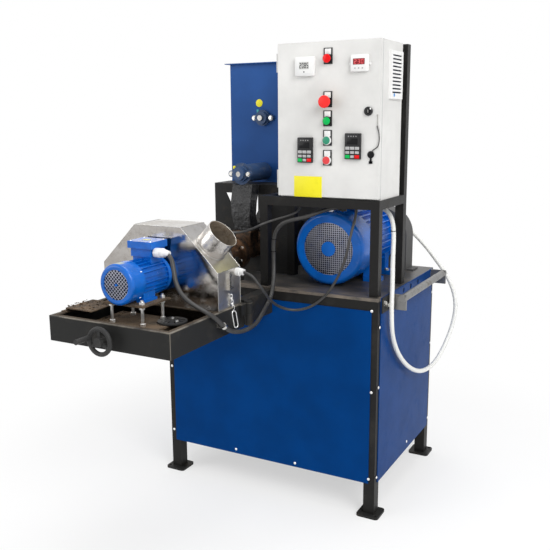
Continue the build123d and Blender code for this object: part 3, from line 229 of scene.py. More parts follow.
def worn_black(name, colour, wear=(0.12, 0.09, 0.06), amount=0.35, gloss=0.38):
    """Black painted steel with rubbed, dusty patches and fine scratches."""
    skin = Finish(name, Specular_IOR_Level=0.15)
    patch = skin.noise(9.0, 8.0, rough=0.68)
    scratch = skin.noise(60.0, 4.0, (1, 14, 9), 0.6).above(0.6, 0.66)
    worn = (patch.above(0.5, 0.72) * amount + scratch * 0.14).clamped()
    skin.colour(skin.blend(worn, colour, wear))
    skin.rough(patch * 0.25 + gloss + worn * 0.2)
    skin.bump(skin.noise(500.0, 3.0) - scratch * 0.6, 0.00015)
    return skin.material


def table_black():
    """The table: black paint scuffed along its length, brown dust near the front edge."""
    skin = Finish("table_paint", Specular_IOR_Level=0.4)
    streak = skin.noise(10.0, 9.0, (1, 6, 1), 0.7)
    edge = (0.0 - skin.axis("Y")).above(0.18, 0.31)
    worn = (streak.above(0.42, 0.7) * 0.45 + edge * streak.above(0.3, 0.6) * 0.5).clamped()
    colour = skin.blend(worn, (0.03, 0.031, 0.033), (0.2, 0.165, 0.13))
    skin.colour(colour)
    skin.rough(streak * 0.3 + 0.22 + worn * 0.15)
    skin.bump(skin.noise(400.0, 4.0) + streak, 0.0002)
    return skin.material


def motor_enamel(name, patch=False):
    """Glossy blue enamel over a cast frame, with a faded patch on the cutter motor's cowl."""
    skin = Finish(name, Specular_IOR_Level=0.35, Coat_Weight=0.1, Coat_Roughness=0.12)
    drift = skin.noise(16.0, 4.0)
    dust = skin.noise(55.0, 7.0, rough=0.7).above(0.58, 0.8)
    base = skin.blend(drift.above(0.3, 0.75), ENAMEL_BLUE, darker(ENAMEL_BLUE, 0.72))
    painted = skin.blend(dust * 0.16, base, (0.1, 0.17, 0.3))
    if patch:
        spot = skin.axis("X").within((-0.206, -0.202), (-0.178, -0.174)) * skin.axis("Z").above(0.92, 0.924)
        spot = spot * skin.axis("Y").within((-0.861, -0.858), (-0.836, -0.832))
        painted = skin.blend(spot * (dust * 0.4 + 0.6), painted, (0.55, 0.55, 0.2))
    skin.colour(painted)
    skin.rough(dust * 0.25 + 0.22)
    skin.bump(skin.noise(320.0, 4.0), 0.00035)
    return skin.material


def polished_stainless():
    """Stainless sheet: highly polished in front, duller on the other faces, with brown smears; the front's
    darker colour is a painted reflection.
    """
    skin = Finish("polished_stainless", Metallic=1.0)
    smear = skin.noise(11.0, 8.0, (1, 1, 2.2), 0.68)
    film = skin.noise(30.0, 9.0, rough=0.75).above(0.48, 0.72)
    front = 1 - skin.axis("Y").above(*HOUSING_FACE)
    stain = (film * 0.5 + smear.above(0.4, 0.75) * 0.45).clamped()
    # Painted reflection: the front face gets a darker colour than the other faces of the same sheet.
    front_tone_and_reflection = skin.blend(stain, (0.46, 0.44, 0.42), (0.22, 0.19, 0.16))
    dull = skin.blend(stain, (0.62, 0.6, 0.575), (0.36, 0.32, 0.27))
    skin.colour(skin.blend(front, dull, front_tone_and_reflection))
    skin.rough(smear.above(0.4, 0.8) * 0.07 + film * 0.12 + (1 - front) * 0.24 + 0.06)
    skin.bump(smear * 1.2 + film * 0.2, 0.0005)
    return skin.material


def bare_steel(name, colour, gloss, stain, stain_amount):
    """Turned or zinc-plated steel with stains."""
    skin = Finish(name, Metallic=1.0)
    spots = skin.noise(40.0, 8.0, rough=0.7).above(0.48, 0.7)
    skin.colour(skin.blend(spots * stain_amount, colour, stain))
    skin.rough(spots * 0.25 + gloss)
    skin.bump(skin.noise(700.0, 3.0), 0.00008)
    return skin.material


def heat_tinted():
    """Heat-tinted and oily steel of the barrel and its flange: brown, red-brown and black."""
    skin = Finish("heat_tinted_steel", Metallic=0.75)
    tint = skin.noise(22.0, 8.0, rough=0.7)
    burn = skin.noise(60.0, 8.0, rough=0.7).above(0.45, 0.65)
    colour = skin.blend(tint.above(0.35, 0.65), (0.05, 0.035, 0.025), (0.2, 0.11, 0.06))
    skin.colour(skin.blend(burn, colour, (0.028, 0.023, 0.02)))
    skin.rough(burn * 0.2 + 0.32)
    skin.bump(skin.noise(260.0, 6.0) + burn * 0.5, 0.0004)
    return skin.material


def moulded(name, colour, rough, grain=1500.0, shine=0.5):
    """Moulded plastic with a fine grain and slight soiling."""
    skin = Finish(name, Specular_IOR_Level=shine)
    soil = skin.noise(35.0, 6.0, rough=0.65).above(0.5, 0.8)
    skin.colour(skin.blend(soil * 0.2, colour, darker(colour, 0.6)))
    skin.rough(soil * 0.15 + rough)
    skin.bump(skin.noise(grain, 2.0), 0.00005)
    return skin.material


def lit(name, colour, strength):
    """A display that gives off light."""
    skin = Finish(name, Roughness=0.3, Emission_Strength=strength)
    glow = skin.noise(400.0, 1.0).above(0.2, 0.8)
    skin.set("Emission Color", skin.blend(glow, darker(colour, 0.85), colour))
    skin.colour(skin.blend(glow, darker(colour, 0.5), colour))
    return skin.material


def rubber(name, colour):
    """Cable sheath: matte rubber with dust on it."""
    skin = Finish(name)
    dust = skin.noise(70.0, 7.0, rough=0.7).above(0.5, 0.8)
    dusty = tuple(min(1.0, 0.12 + 1.6 * channel) for channel in colour)
    skin.colour(skin.blend(dust * 0.3, colour, dusty))
    skin.rough(dust * 0.2 + 0.45)
    skin.bump(skin.noise(900.0, 2.0), 0.0001)
    return skin.material


def pellet_dust():
    """Brown feed dust lying in the tray."""
    skin = Finish("feed_dust", Roughness=0.95)
    crumbs = skin.noise(420.0, 6.0, rough=0.8)
    drift = skin.noise(24.0, 6.0)
    colour = skin.blend(drift.above(0.35, 0.65), (0.045, 0.032, 0.022), (0.13, 0.085, 0.05))
    skin.colour(skin.blend(crumbs.above(0.5, 0.62), colour, (0.22, 0.16, 0.1)))
    skin.bump(crumbs + drift, 0.0015)
    return skin.material


def chute_skin():
    """The chute: crumpled black film, lighter along its creases as painted highlights."""
    skin = Finish("chute_film", Specular_IOR_Level=0.6)
    crease_and_glint = skin.noise(38.0, 6.0, (1, 1, 0.6), 0.65)
    # Painted highlight: the creases get a lighter colour; the same noise also gives the creases their relief.
    skin.colour(skin.blend(crease_and_glint.above(0.55, 0.7), (0.009, 0.009, 0.01), (0.05, 0.05, 0.052)))
    skin.rough(crease_and_glint * 0.3 + 0.18)
    skin.bump(crease_and_glint * 2.0 + skin.noise(90.0, 5.0), 0.006)
    return skin.material


def tray_skin():
    """The tray: worn black paint outside with a painted highlight along its rim and one corner, brown feed
    dust inside.
    """
    skin = Finish("tray_paint", Specular_IOR_Level=0.15)
    patch = skin.noise(9.0, 8.0, rough=0.68)
    crumbs = skin.noise(300.0, 6.0, rough=0.8)
    across, along, up = skin.axis("X"), skin.axis("Y"), skin.axis("Z")
    inside = across.within((-0.402, -0.399), (0.034, 0.037)) * along.within((-0.917, -0.914), (-0.523, -0.52))
    inside = inside * up.above(0.6885, 0.6895)
    paint_colour = skin.blend(patch.above(0.5, 0.72) * 0.4, (0.016, 0.016, 0.0155), (0.05, 0.046, 0.04))
    # Painted highlight, partly wear: a lighter line along the rim's top and down the front right corner's
    # edge.
    rim_wear_and_highlight = up.above(0.7618, 0.7638) * patch.above(0.3, 0.6)
    corner = across.above(0.0405, 0.0425) * (1 - along.above(-0.9212, -0.9195))
    paint_colour = skin.blend((rim_wear_and_highlight + corner * 0.8).clamped(), paint_colour, (0.2, 0.18, 0.15))
    dust = skin.blend(crumbs.above(0.5, 0.62), (0.05, 0.036, 0.025), (0.16, 0.115, 0.075))
    skin.colour(skin.blend((inside * (patch * 0.8 + 0.4)).clamped(), paint_colour, dust))
    skin.rough(patch * 0.25 + 0.36 + inside * 0.3)
    skin.bump(skin.noise(500.0, 3.0) + inside * crumbs * 4.0, 0.0003)
    return skin.material


def spout_skin():
    """The spout: bright rolled sheet outside, brown film inside."""
    skin = Finish("spout_steel", Metallic=1.0)
    smear = skin.noise(16.0, 8.0, (1, 1, 2.0), 0.68)
    film = skin.noise(34.0, 9.0, rough=0.75).above(0.48, 0.7)
    across = (skin.axis("X") - SPOUT_CENTRE.x) - (skin.axis("Z") - SPOUT_CENTRE.z)
    along = skin.axis("Y") - SPOUT_CENTRE.y
    bore = 1 - (across * across * 0.5 + along * along).above(0.00255, 0.00262)
    stain = (film * 0.45 + smear.above(0.45, 0.8) * 0.3).clamped()
    outer = skin.blend(stain, (0.52, 0.5, 0.48), (0.24, 0.2, 0.17))
    inner = skin.blend(film, (0.5, 0.43, 0.35), (0.24, 0.19, 0.14))
    skin.colour(skin.blend(bore, outer, inner))
    skin.rough(smear.above(0.35, 0.75) * 0.14 + film * 0.14 + bore * 0.35 + 0.14)
    skin.bump(smear * 1.6 + film * 0.3, 0.0008)
    return skin.material


PAINT = {
    "black": worn_black("black_paint", (0.02, 0.02, 0.02)),
    "post_black": worn_black("stand_paint", (0.013, 0.0125, 0.012), (0.05, 0.047, 0.042), 0.3, 0.3),
    "tray_black": tray_skin(),
    "wheel_black": worn_black("wheel_paint", (0.035, 0.035, 0.035), (0.12, 0.11, 0.1), 0.5, 0.3),
    "chute_black": chute_skin(),
    "guard_black": worn_black("guard_paint", (0.075, 0.074, 0.074), (0.12, 0.12, 0.12), 0.25, 0.4),
    "table": table_black(),
    "panel_blue": powder_coat("panel_blue", (0.0004, 0.045, 0.2), (0.004, 0.046, 0.165), 0.24, shine=0.03),
    "hopper_blue": powder_coat("hopper_blue", (0.017, 0.085, 0.3), (0.03, 0.08, 0.22), 0.32, shine=0.14),
    "tube_blue": powder_coat("tube_blue", (0.035, 0.075, 0.17), (0.22, 0.21, 0.19), 0.34, 700.0, 16.0, 0.75),
    "cabinet_grey": powder_coat("cabinet_grey", (0.78, 0.775, 0.755), (0.5, 0.48, 0.44), 0.4, 1600.0, 4.0,
                                0.1),
    "motor_blue": motor_enamel("motor_blue"),
    "cowl_blue": motor_enamel("cowl_blue", patch=True),
    "stainless": polished_stainless(),
    "spout_steel": spout_skin(),
    "bar_steel": bare_steel("bar_steel", (0.26, 0.26, 0.255), 0.42, (0.16, 0.13, 0.1), 0.5),
    "zinc": bare_steel("zinc_plate", (0.62, 0.61, 0.58), 0.25, (0.3, 0.26, 0.2), 0.5),
    "bright_zinc": bare_steel("bright_zinc", (0.85, 0.85, 0.84), 0.32, (0.5, 0.48, 0.45), 0.3),
    "raw_steel": bare_steel("raw_steel", (0.42, 0.41, 0.39), 0.35, (0.14, 0.1, 0.07), 0.7),
    "hot": heat_tinted(),
    "black_plastic": moulded("black_plastic", (0.02, 0.02, 0.021), 0.42, shine=0.25),
    "gloss_black": moulded("gloss_black", (0.008, 0.008, 0.009), 0.2, 600.0, shine=0.15),
    "key_grey": moulded("key_grey", (0.42, 0.42, 0.42), 0.4),
    "white_plastic": moulded("white_plastic", (0.82, 0.82, 0.81), 0.4),
    "red_plastic": moulded("red_mushroom", (0.9, 0.03, 0.026), 0.35, 900.0, shine=0.25),
    "red_lens": moulded("red_lens", (0.75, 0.004, 0.006), 0.2, 900.0, shine=0.2),
    "pale_red": moulded("pale_red_lens", (0.72, 0.06, 0.065), 0.25, 900.0, shine=0.25),
    "green_plastic": moulded("green_button", (0.001, 0.46, 0.09), 0.28, 900.0, shine=0.2),
    "dark_green": moulded("dark_green_lens", (0.035, 0.27, 0.16), 0.22, 900.0, shine=0.25),
    "yellow": moulded("yellow_plate", (0.87, 0.78, 0.008), 0.45),
    "faded_yellow": moulded("faded_yellow", (0.62, 0.6, 0.28), 0.5),
    "glass_grey": moulded("display_glass", (0.62, 0.62, 0.6), 0.25, 900.0, shine=0.3),
    "glass_red": moulded("red_display_glass", (0.22, 0.012, 0.018), 0.25, 900.0, shine=0.2),
    "teal": moulded("teal_mark", (0.02, 0.35, 0.36), 0.4),
    "sky_blue": moulded("sky_blue_mark", (0.02, 0.25, 0.65), 0.4),
    "cord_black": rubber("cable_sheath", (0.03, 0.029, 0.028)),
    "hose_white": rubber("white_hose", (0.8, 0.8, 0.77)),
    "red_glow": lit("red_digits", (0.75, 0.09, 0.1), 0.35),
    "dusty_plate": pellet_dust(),
    "mesh_wire": bare_steel("mesh_wire", (0.42, 0.43, 0.5), 0.3, (0.12, 0.16, 0.3), 0.6),
    # Painted shade: the dark colour of the discs behind the fan bars and the slab behind the vent louvres.
    "painted_shade": worn_black("painted_shade", (0.004, 0.008, 0.02), (0.01, 0.02, 0.05), 0.4, 0.6),
}

NODE_PAINT = {
    "post_black": ["base_legs", "base_rails", "stand_posts", "stand_rails"],
    "black": ["foot_plates", "support_plate", "hinge_arm", "barrel_support", "gearbox", "corner_plate"],
    "chute_black": ["chute"],
    "wheel_black": ["handwheel"],
    "tray_black": ["cutter_tray"],
    "dusty_plate": ["carriage", "tray_cover", "motor_plate"],
    "guard_black": ["belt_guard"],
    "table": ["table_top"],
    "panel_blue": ["base_panels"],
    "hopper_blue": ["hopper"],
    "tube_blue": ["feed_tube", "bearing_units"],
    "cabinet_grey": ["cabinet_box", "cabinet_door", "cabinet_hinges"],
    "motor_blue": ["main_motor", "main_cowl", "main_terminal_box", "cutter_motor", "cutter_terminal_box"],
    "cowl_blue": ["cutter_cowl"],
    "stainless": ["cutter_housing"],
    "spout_steel": ["spout"],
    "bar_steel": ["push_bar"],
    "bright_zinc": ["motor_studs"],
    "zinc": ["mounting_plate", "cord_clip", "housing_latch"],
    "raw_steel": ["agitator", "feed_screw", "cutter_knife", "heater_bands"],
    "hot": ["barrel_rear", "barrel_front", "die_plate"],
    "black_plastic": ["legend_holders", "drive_keypads", "door_lock", "cabinet_glands"],
    "white_plastic": ["door_meters", "vent_grille", "cutter_gland", "sensor_plug"],
    "red_plastic": ["push_buttons"],
    "cord_black": ["motor_cord", "swing_cord", "sensor_cord", "heater_cord"],
    "hose_white": ["white_hose"],
}


def paint(obj, key):
    """Gives an object one finish."""
    obj.data.materials.clear()
    obj.data.materials.append(PAINT[key])


def paint_nodes():
    """The finish of every CAD node."""
    for key, names in NODE_PAINT.items():
        for name in names:
            if name in nodes:
                paint(nodes[name], key)


# Modelling helpers

# Angles in radians up to which two faces are shaded as one surface
HARD, SMOOTH, ROUND = 0.5, 0.7, 1.2


def settle(obj, name, key, body, angle=SMOOTH):
    """Names a new piece, puts its place in its mesh, finishes it and hangs it on its body."""
    bpy.ops.object.select_all(action="DESELECT")
    obj.select_set(True)
    bpy.context.view_layer.objects.active = obj
    bpy.ops.object.transform_apply()
    bpy.ops.object.shade_smooth_by_angle(angle=angle)
    obj.name = name
    obj.data.name = name
    paint(obj, key)
    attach(obj, body)
    return obj


def bevelled(obj, width, segments=2):
    """Rounds a piece's edges."""
    modifier = obj.modifiers.new("edge", "BEVEL")
    modifier.width = width
    modifier.segments = segments
    modifier.limit_method = "ANGLE"
    bpy.context.view_layer.objects.active = obj
    bpy.ops.object.modifier_apply(modifier=modifier.name)
    return obj


def slab(low, high, edge):
    """A block between two corners, with rounded edges."""
    middle = [(a + b) / 2 for a, b in zip(low, high)]
    bpy.ops.mesh.primitive_cube_add(size=1, location=middle, scale=[b - a for a, b in zip(low, high)])
    bpy.ops.object.transform_apply()
    return bevelled(bpy.context.object, edge)


AXIS_TURN = {"x": (0, pi / 2, 0), "y": (pi / 2, 0, 0), "z": (0, 0, 0)}


def disc(axis, centre, radius, length, sides, edge):
    """A turned piece along one axis, centred, with rounded edges."""
    bpy.ops.mesh.primitive_cylinder_add(vertices=sides, radius=radius, depth=length, location=centre,
                                        rotation=AXIS_TURN[axis])
    bpy.ops.object.transform_apply()
    return bevelled(bpy.context.object, edge)


def joined(objects):
    """One mesh from several."""
    bpy.ops.object.select_all(action="DESELECT")
    for obj in objects:
        obj.select_set(True)
    bpy.context.view_layer.objects.active = objects[0]
    bpy.ops.object.join()
    return bpy.context.object


def duplicate(model):
    """A copy of an object, with a mesh of its own."""
    piece = model.copy()
    piece.data = model.data.copy()
    bpy.context.collection.objects.link(piece)
    return piece


def copies(model, places):
    """Copies of the model at each place, as one mesh."""
    pieces = []
    for place in places:
        piece = duplicate(model)
        piece.location = Vector(place)
        pieces.append(piece)
    bpy.data.objects.remove(model)
    return joined(pieces)


def bolt(axis, size, side=1):
    """A hexagon-headed screw on a washer at the origin, standing out along one axis."""
    turn = AXIS_TURN[axis]
    way = Vector()
    way["xyz".index(axis)] = side
    bpy.ops.mesh.primitive_cylinder_add(vertices=20, radius=size, depth=0.2 * size, location=way * 0.1 * size,
                                        rotation=turn)
    washer = bpy.context.object
    bpy.ops.mesh.primitive_cylinder_add(vertices=6, radius=0.85 * size, depth=0.6 * size,
                                        location=way * 0.5 * size, rotation=turn)
    head = bpy.context.object
    bpy.ops.object.transform_apply()
    bevelled(head, 0.08 * size, 1)
    return joined([washer, head])


def dome(axis, size):
    """A domed screw head at the origin."""
    bpy.ops.mesh.primitive_uv_sphere_add(segments=14, ring_count=8, radius=size)
    head = bpy.context.object
    head.scale["xyz".index(axis)] = 0.5
    bpy.ops.object.transform_apply()
    return head


# Cords, with their routes in millimetres

def metres(route):
    """A route given in millimetres."""
    return [tuple(value / 1000 for value in point) for point in route]


MOTOR_ROUTE = metres([
    (-127, -729, 948), (-101, -729, 948), (-80, -733, 934), (-68, -742, 903), (-56, -751, 866),
    (-30, -757, 831), (10, -754, 804), (48, -735, 781), (63, -704, 751), (65, -678, 729)])
SWING_ROUTE = metres([
    (65, -678, 729), (67, -652, 707), (76, -602, 692), (82, -550, 692), (80, -500, 698), (70, -448, 715),
    (58, -395, 730), (50, -345, 752), (38, -308, 793), (28, -286, 837), (24, -280, 885), (24, -280, 930),
    (36, -284, 970), (64, -285, 998), (102, -280, 1010), (144, -268, 1020), (180, -248, 1035),
    (210, -233, 1048), (240, -226, 1052)])
SENSOR_ROUTE = metres([
    (61, -547, 872), (85, -547, 867), (101, -538, 847), (108, -510, 812), (100, -448, 764),
    (101, -385, 727), (135, -345, 709), (188, -330, 722), (239, -320, 762), (277, -312, 822),
    (302, -302, 887), (312, -292, 950), (312, -268, 990), (312, -242, 1022), (312, -236, 1045),
    (312, -236, 1066)])
HEATER_ROUTE = metres([
    (-187, -455, 918), (-187, -455, 938), (-174, -460, 960), (-144, -470, 976), (-98, -476, 983),
    (-54, -470, 981), (-26, -440, 978), (-15, -396, 979), (-14, -350, 982), (-6, -314, 990),
    (18, -298, 1001), (48, -284, 1011), (76, -266, 1020), (99, -249, 1031), (110, -239, 1047),
    (112, -236, 1066)])
HOSE_ROUTE = metres([
    (263, -25, 1046), (300, -30, 1042), (340, -44, 1034), (370, -62, 1014), (386, -78, 984),
    (393, -90, 945), (398, -106, 902), (408, -136, 864), (421, -172, 832), (433, -206, 796),
    (440, -228, 752), (442, -233, 700), (441, -222, 645), (438, -185, 590), (438, -130, 533),
    (444, -65, 480), (452, 10, 438), (460, 85, 415), (468, 160, 412), (478, 225, 432), (489, 280, 476),
    (500, 318, 530), (507, 338, 588), (503, 348, 640), (485, 350, 695), (458, 345, 745), (424, 338, 792),
    (388, 336, 836), (356, 334, 870), (331, 325, 896), (316, 306, 914), (311, 282, 922)])


def curve_cord(name, route, radius):
    """A cord as a smooth curve with the route's points as its control points."""
    curve = bpy.data.curves.new(name, "CURVE")
    curve.dimensions = "3D"
    curve.bevel_depth = radius
    curve.bevel_resolution = 6
    curve.resolution_u = 12
    curve.use_fill_caps = True
    spline = curve.splines.new("NURBS")
    spline.points.add(len(route) - 1)
    for point, place in zip(spline.points, route):
        point.co = (*place, 1)
    spline.order_u = 3
    spline.use_endpoint_u = True
    cord = bpy.data.objects.new(name, curve)
    bpy.context.collection.objects.link(cord)
    return cord


def centre_line(cord):
    """The points of a cord's own line, read from its spline."""
    thickness = cord.data.bevel_depth
    cord.data.bevel_depth = 0
    bpy.context.view_layer.update()
    line = bpy.data.meshes.new_from_object(cord)
    points = [tuple(vertex.co) for vertex in line.vertices]
    cord.data.bevel_depth = thickness
    bpy.context.view_layer.update()
    return points


def still_cord(name, route, radius, key, node):
    """A cord that hangs between two places on the machine."""
    cord = curve_cord(name, route, radius)
    paint(cord, key)
    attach(cord, "machine")
    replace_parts(cord, node)
    return cord


def bending_cord(name, route, radius, node):
    """A cord that runs between two bodies, made as one fixed tube along its curve."""
    curve = curve_cord(name + "_line", route, radius)
    line = centre_line(curve)
    cord = bpy.data.objects.new(name, bpy.data.meshes.new_from_object(curve))
    bpy.context.collection.objects.link(cord)
    bpy.data.objects.remove(curve)
    cord.data.shade_smooth()
    paint(cord, "cord_black")
    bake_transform(cord)
    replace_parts(cord, node)
    return cord


def make_cords():
    """The four cables and the white hose."""
    bending_cord("motor_lead", MOTOR_ROUTE, 0.007, "motor_cord")
    bending_cord("swing_lead", SWING_ROUTE, 0.007, "swing_cord")
    bending_cord("sensor_lead", SENSOR_ROUTE, 0.0045, "sensor_cord")
    still_cord("heater_lead", HEATER_ROUTE, 0.004, "cord_black", "heater_cord")
    still_cord("drain_hose", HOSE_ROUTE, 0.008, "hose_white", "white_hose")


# Screws and bolts

PANEL_SCREW = 0.0052
FRONT_PANEL, SIDE_PANEL = 0.306, 0.424
FRONT_SCREWS = [(0.4, 0.729), (0.404, 0.45), (0.4, 0.137), (0.119, 0.134), (-0.127, 0.136), (-0.408, 0.161),
                (-0.408, 0.42), (-0.4, 0.7)]
SIDE_SCREWS = [(-0.292, 0.674), (-0.292, 0.466), (-0.292, 0.143), (0.025, 0.149), (0.288, 0.149),
               (0.288, 0.466), (0.288, 0.674)]
# Height and front face of each bearing
BEARINGS = ((1.349, 0.026), (1.147, -0.149))
BARREL_Z = 0.865
FLANGE_FACE = -0.211
FLANGE_CIRCLE = 0.048
MAIN_SHAFT_X = 0.193


def panel_screws():
    """Domed screws round the four panels."""
    front = [(x, y, z) for y in (-FRONT_PANEL, FRONT_PANEL) for x, z in FRONT_SCREWS]
    side = [(x, y, z) for x in (SIDE_PANEL, -SIDE_PANEL) for y, z in SIDE_SCREWS]
    heads = joined([copies(dome("y", PANEL_SCREW), front), copies(dome("x", PANEL_SCREW), side)])
    settle(heads, "panel_screws", "bright_zinc", "machine", ROUND)


def machine_bolts():
    """Hexagon bolts of the bearings, the barrel flange, the motor feet, the guard and the push bar."""
    bearings = [(SHAFT_X + side * 0.036, face, z) for side in (-1, 1) for z, face in BEARINGS]
    flange = [(SHAFT_X + FLANGE_CIRCLE * cos(angle), FLANGE_FACE, BARREL_Z + FLANGE_CIRCLE * sin(angle))
              for angle in [pi / 3 * step + 0.4 for step in range(6)]]
    motor_feet = [(MAIN_SHAFT_X + side * 0.108, y, 0.786) for side in (-1, 1) for y in (-0.05, 0.1)]
    guard = [(x, 0.28, 0.775) for x in (-0.25, -0.1, 0.05, 0.2, 0.33)]
    push_bar = [(0.428, -0.262, 0.75), (0.428, -0.235, 0.738)]
    bolts = [copies(bolt("y", 0.0088, -1), bearings), copies(bolt("y", 0.006, -1), flange),
             copies(bolt("z", 0.011), motor_feet), copies(bolt("z", 0.007), guard),
             copies(bolt("x", 0.009), push_bar)]
    settle(joined(bolts), "machine_bolts", "zinc", "machine", HARD)


# Fan cowls

BAR_GAP = 0.0014
BAR_THICK = 0.0012


def fan_mesh(name, body, centre, face, radius, pitch, wire, turn):
    """Crossed bars in the pocket of a fan cowl, over a dark disc that is painted shade."""
    bars = []
    steps = int(radius / pitch)
    for upright in (0, 1):
        depth = face + BAR_GAP + BAR_THICK * upright
        for step in range(-steps, steps + 1):
            offset = step * pitch
            half = sqrt(radius * radius - offset * offset)
            low, high = (offset - wire / 2, -half), (offset + wire / 2, half)
            if not upright:
                low, high = low[::-1], high[::-1]
            bars.append(slab((low[0], depth, low[1]), (high[0], depth + BAR_THICK, high[1]), 0.0003))
    bars = joined(bars)
    bars.data.transform(Matrix.Translation((centre[0], 0, centre[1])) @ Matrix.Rotation(turn, 4, "Y"))
    settle(bars, name + "_mesh", "mesh_wire", body)
    # Painted shade: a dark disc behind the bars stands for the shade inside the cowl.
    shade_disc = disc("y", (centre[0], face + 0.0046, centre[1]), radius, 0.0008, 48, 0.0002)
    settle(shade_disc, name + "_back", "painted_shade", body)


# Control door, measured in x and z from its lower left corner and outwards from its face

DOOR_LEFT, DOOR_FACE, DOOR_LOW = 0.045, -0.281, 1.086


def on_door(x, z, out):
    """A place on the door."""
    return (DOOR_LEFT + x, DOOR_FACE - out, DOOR_LOW + z)


def door_plate(x, z, half_width, half_height, out, thick, edge):
    """A rounded plate on the door."""
    left, face, low = on_door(x - half_width, z - half_height, out + thick)
    return slab((left, face, low), (left + 2 * half_width, face + thick, low + 2 * half_height), edge)


def door_disc(x, z, radius, out, thick, edge, sides=40):
    """A rounded disc on the door."""
    return disc("y", on_door(x, z, out + thick / 2), radius, thick, sides, edge)
    return disc("y", place, radius, thick, sides, edge)


COLUMN_X = 0.182
COLUMN = {"red_lamp": 0.446, "stop": 0.312, "green_button": 0.252, "green_lamp": 0.19, "red_button": 0.126}
HOLDER = 0.003
BEZEL_RADIUS = 0.0145


def label_plates():
    """Blank white label windows in the black holders."""
    plates = [door_plate(COLUMN_X, z + 0.0215, 0.0108, 0.0088, HOLDER, 0.0006, 0.0002)
              for z in COLUMN.values()]
    settle(joined(plates), "label_plates", "white_plastic", "door")


def button(name, cap_key, bezel_key, cap_radius, out):
    """A push-button or lamp: a bezel ring and a rounded cap."""
    bezel = door_disc(COLUMN_X, COLUMN[name], BEZEL_RADIUS, HOLDER, 0.008, 0.0018)
    settle(bezel, name + "_bezel", bezel_key, "door")
    cap = door_disc(COLUMN_X, COLUMN[name], cap_radius, 0.01, out - 0.01, 0.0026)
    settle(cap, name + "_cap", cap_key, "door")


def push_buttons():
    """The column of five: red lamp, mushroom stop, green button, dark green lamp and pale red button."""
    button("red_lamp", "red_lens", "gloss_black", 0.0136, 0.017)
    button("green_button", "green_plastic", "gloss_black", 0.0126, 0.0145)
    button("green_lamp", "dark_green", "white_plastic", 0.0128, 0.015)
    button("red_button", "pale_red", "white_plastic", 0.0128, 0.015)
    collar = door_disc(COLUMN_X, COLUMN["stop"], BEZEL_RADIUS, HOLDER, 0.009, 0.0015)
    settle(collar, "stop_collar", "gloss_black", "door")
    stop_ring = door_disc(COLUMN_X, COLUMN["stop"], 0.0125, 0.012, 0.014, 0.001)
    settle(stop_ring, "stop_ring", "yellow", "door")
    head = door_disc(COLUMN_X, COLUMN["stop"], 0.0198, 0.024, 0.0125, 0.004, 56)
    settle(head, "stop_head", "red_plastic", "door")
    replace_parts(head, "push_buttons")


KEYPAD_CASE, KEYPAD_PANEL = 0.012, 0.0132
KEY_STEP = 0.0165
# Height on the keypad, half width and half height of the keys in the two upper rows
KEY_ROWS = ((-0.006, 0.0072, 0.0048), (-0.0195, 0.0066, 0.0042))
LAST_ROW = -0.0325


def key_cap(x, z, half_width, half_height):
    """One key of a keypad."""
    return door_plate(x, z, half_width, half_height, KEYPAD_CASE, 0.0018, 0.0007)


def keypad(name, x, z):
    """One drive keypad: dark case, display, and three rows of keys."""
    case = joined([door_plate(x, z, 0.027, 0.041, 0, KEYPAD_CASE, 0.002),
                   door_plate(x, z + 0.0175, 0.0245, 0.0195, KEYPAD_CASE, 0.0012, 0.0006)])
    settle(case, name + "_case", "black_plastic", "door")
    glass = door_plate(x, z + 0.0155, 0.0185, 0.0095, KEYPAD_PANEL, 0.0006, 0.0003)
    settle(glass, name + "_display", "gloss_black", "door")
    marks = [door_plate(x + step * 0.0085, z + 0.0315, 0.0013, 0.0016, KEYPAD_PANEL, 0.0004, 0.0001)
             for step in (-1.5, -0.5, 0.5, 1.5)]
    keys = [key_cap(x + step * KEY_STEP, z + up, half_width, half_height)
            for up, half_width, half_height in KEY_ROWS for step in (-1, 0, 1)]
    keys.append(key_cap(x, z + LAST_ROW, 0.0062, 0.0042))
    settle(joined(keys + marks), name + "_keys", "key_grey", "door")
    for side, job, key in ((-1, "_run_key", "green_plastic"), (1, "_stop_key", "red_lens")):
        cap = key_cap(x + side * KEY_STEP, z + LAST_ROW, 0.0078, 0.0054)
        settle(cap, name + job, key, "door")
    return case


# The seven bars of a figure, each between two corners given as shares of its width and height
SEGMENTS = {"a": ((0.1, 0.86), (0.9, 1.0)), "g": ((0.1, 0.43), (0.9, 0.57)), "d": ((0.1, 0.0), (0.9, 0.14)),
            "f": ((0.0, 0.54), (0.28, 0.94)), "b": ((0.72, 0.54), (1.0, 0.94)),
            "e": ((0.0, 0.06), (0.28, 0.46)), "c": ((0.72, 0.06), (1.0, 0.46))}
DIGITS = {"0": "adfbec", "2": "agdbe", "3": "agdbc", "5": "agdfc", "8": "agdfbec"}
SEGMENT_THICK, SEGMENT_EDGE = 0.0003, 0.00008


def digits(text, x, z, out, width, height, gap):
    """Seven-segment digits centred on a display."""
    bars = []
    first = x - (len(text) * width + (len(text) - 1) * gap) / 2
    for index, figure in enumerate(text):
        left = first + index * (width + gap)
        for part in DIGITS[figure]:
            low, high = SEGMENTS[part]
            middle_x = left + width * (low[0] + high[0]) / 2
            middle_z = z + height * ((low[1] + high[1]) / 2 - 0.5)
            half_x = width * (high[0] - low[0]) / 2
            half_z = height * (high[1] - low[1]) / 2
            bars.append(door_plate(middle_x, middle_z, half_x, half_z, out, SEGMENT_THICK, SEGMENT_EDGE))
    return joined(bars)


THERMOSTAT_X, METER_X, METER_GLASS_X = 0.104, 0.292, 0.291
THERMOSTAT_GLASS_Z, METER_GLASS_Z = 0.4265, 0.4325


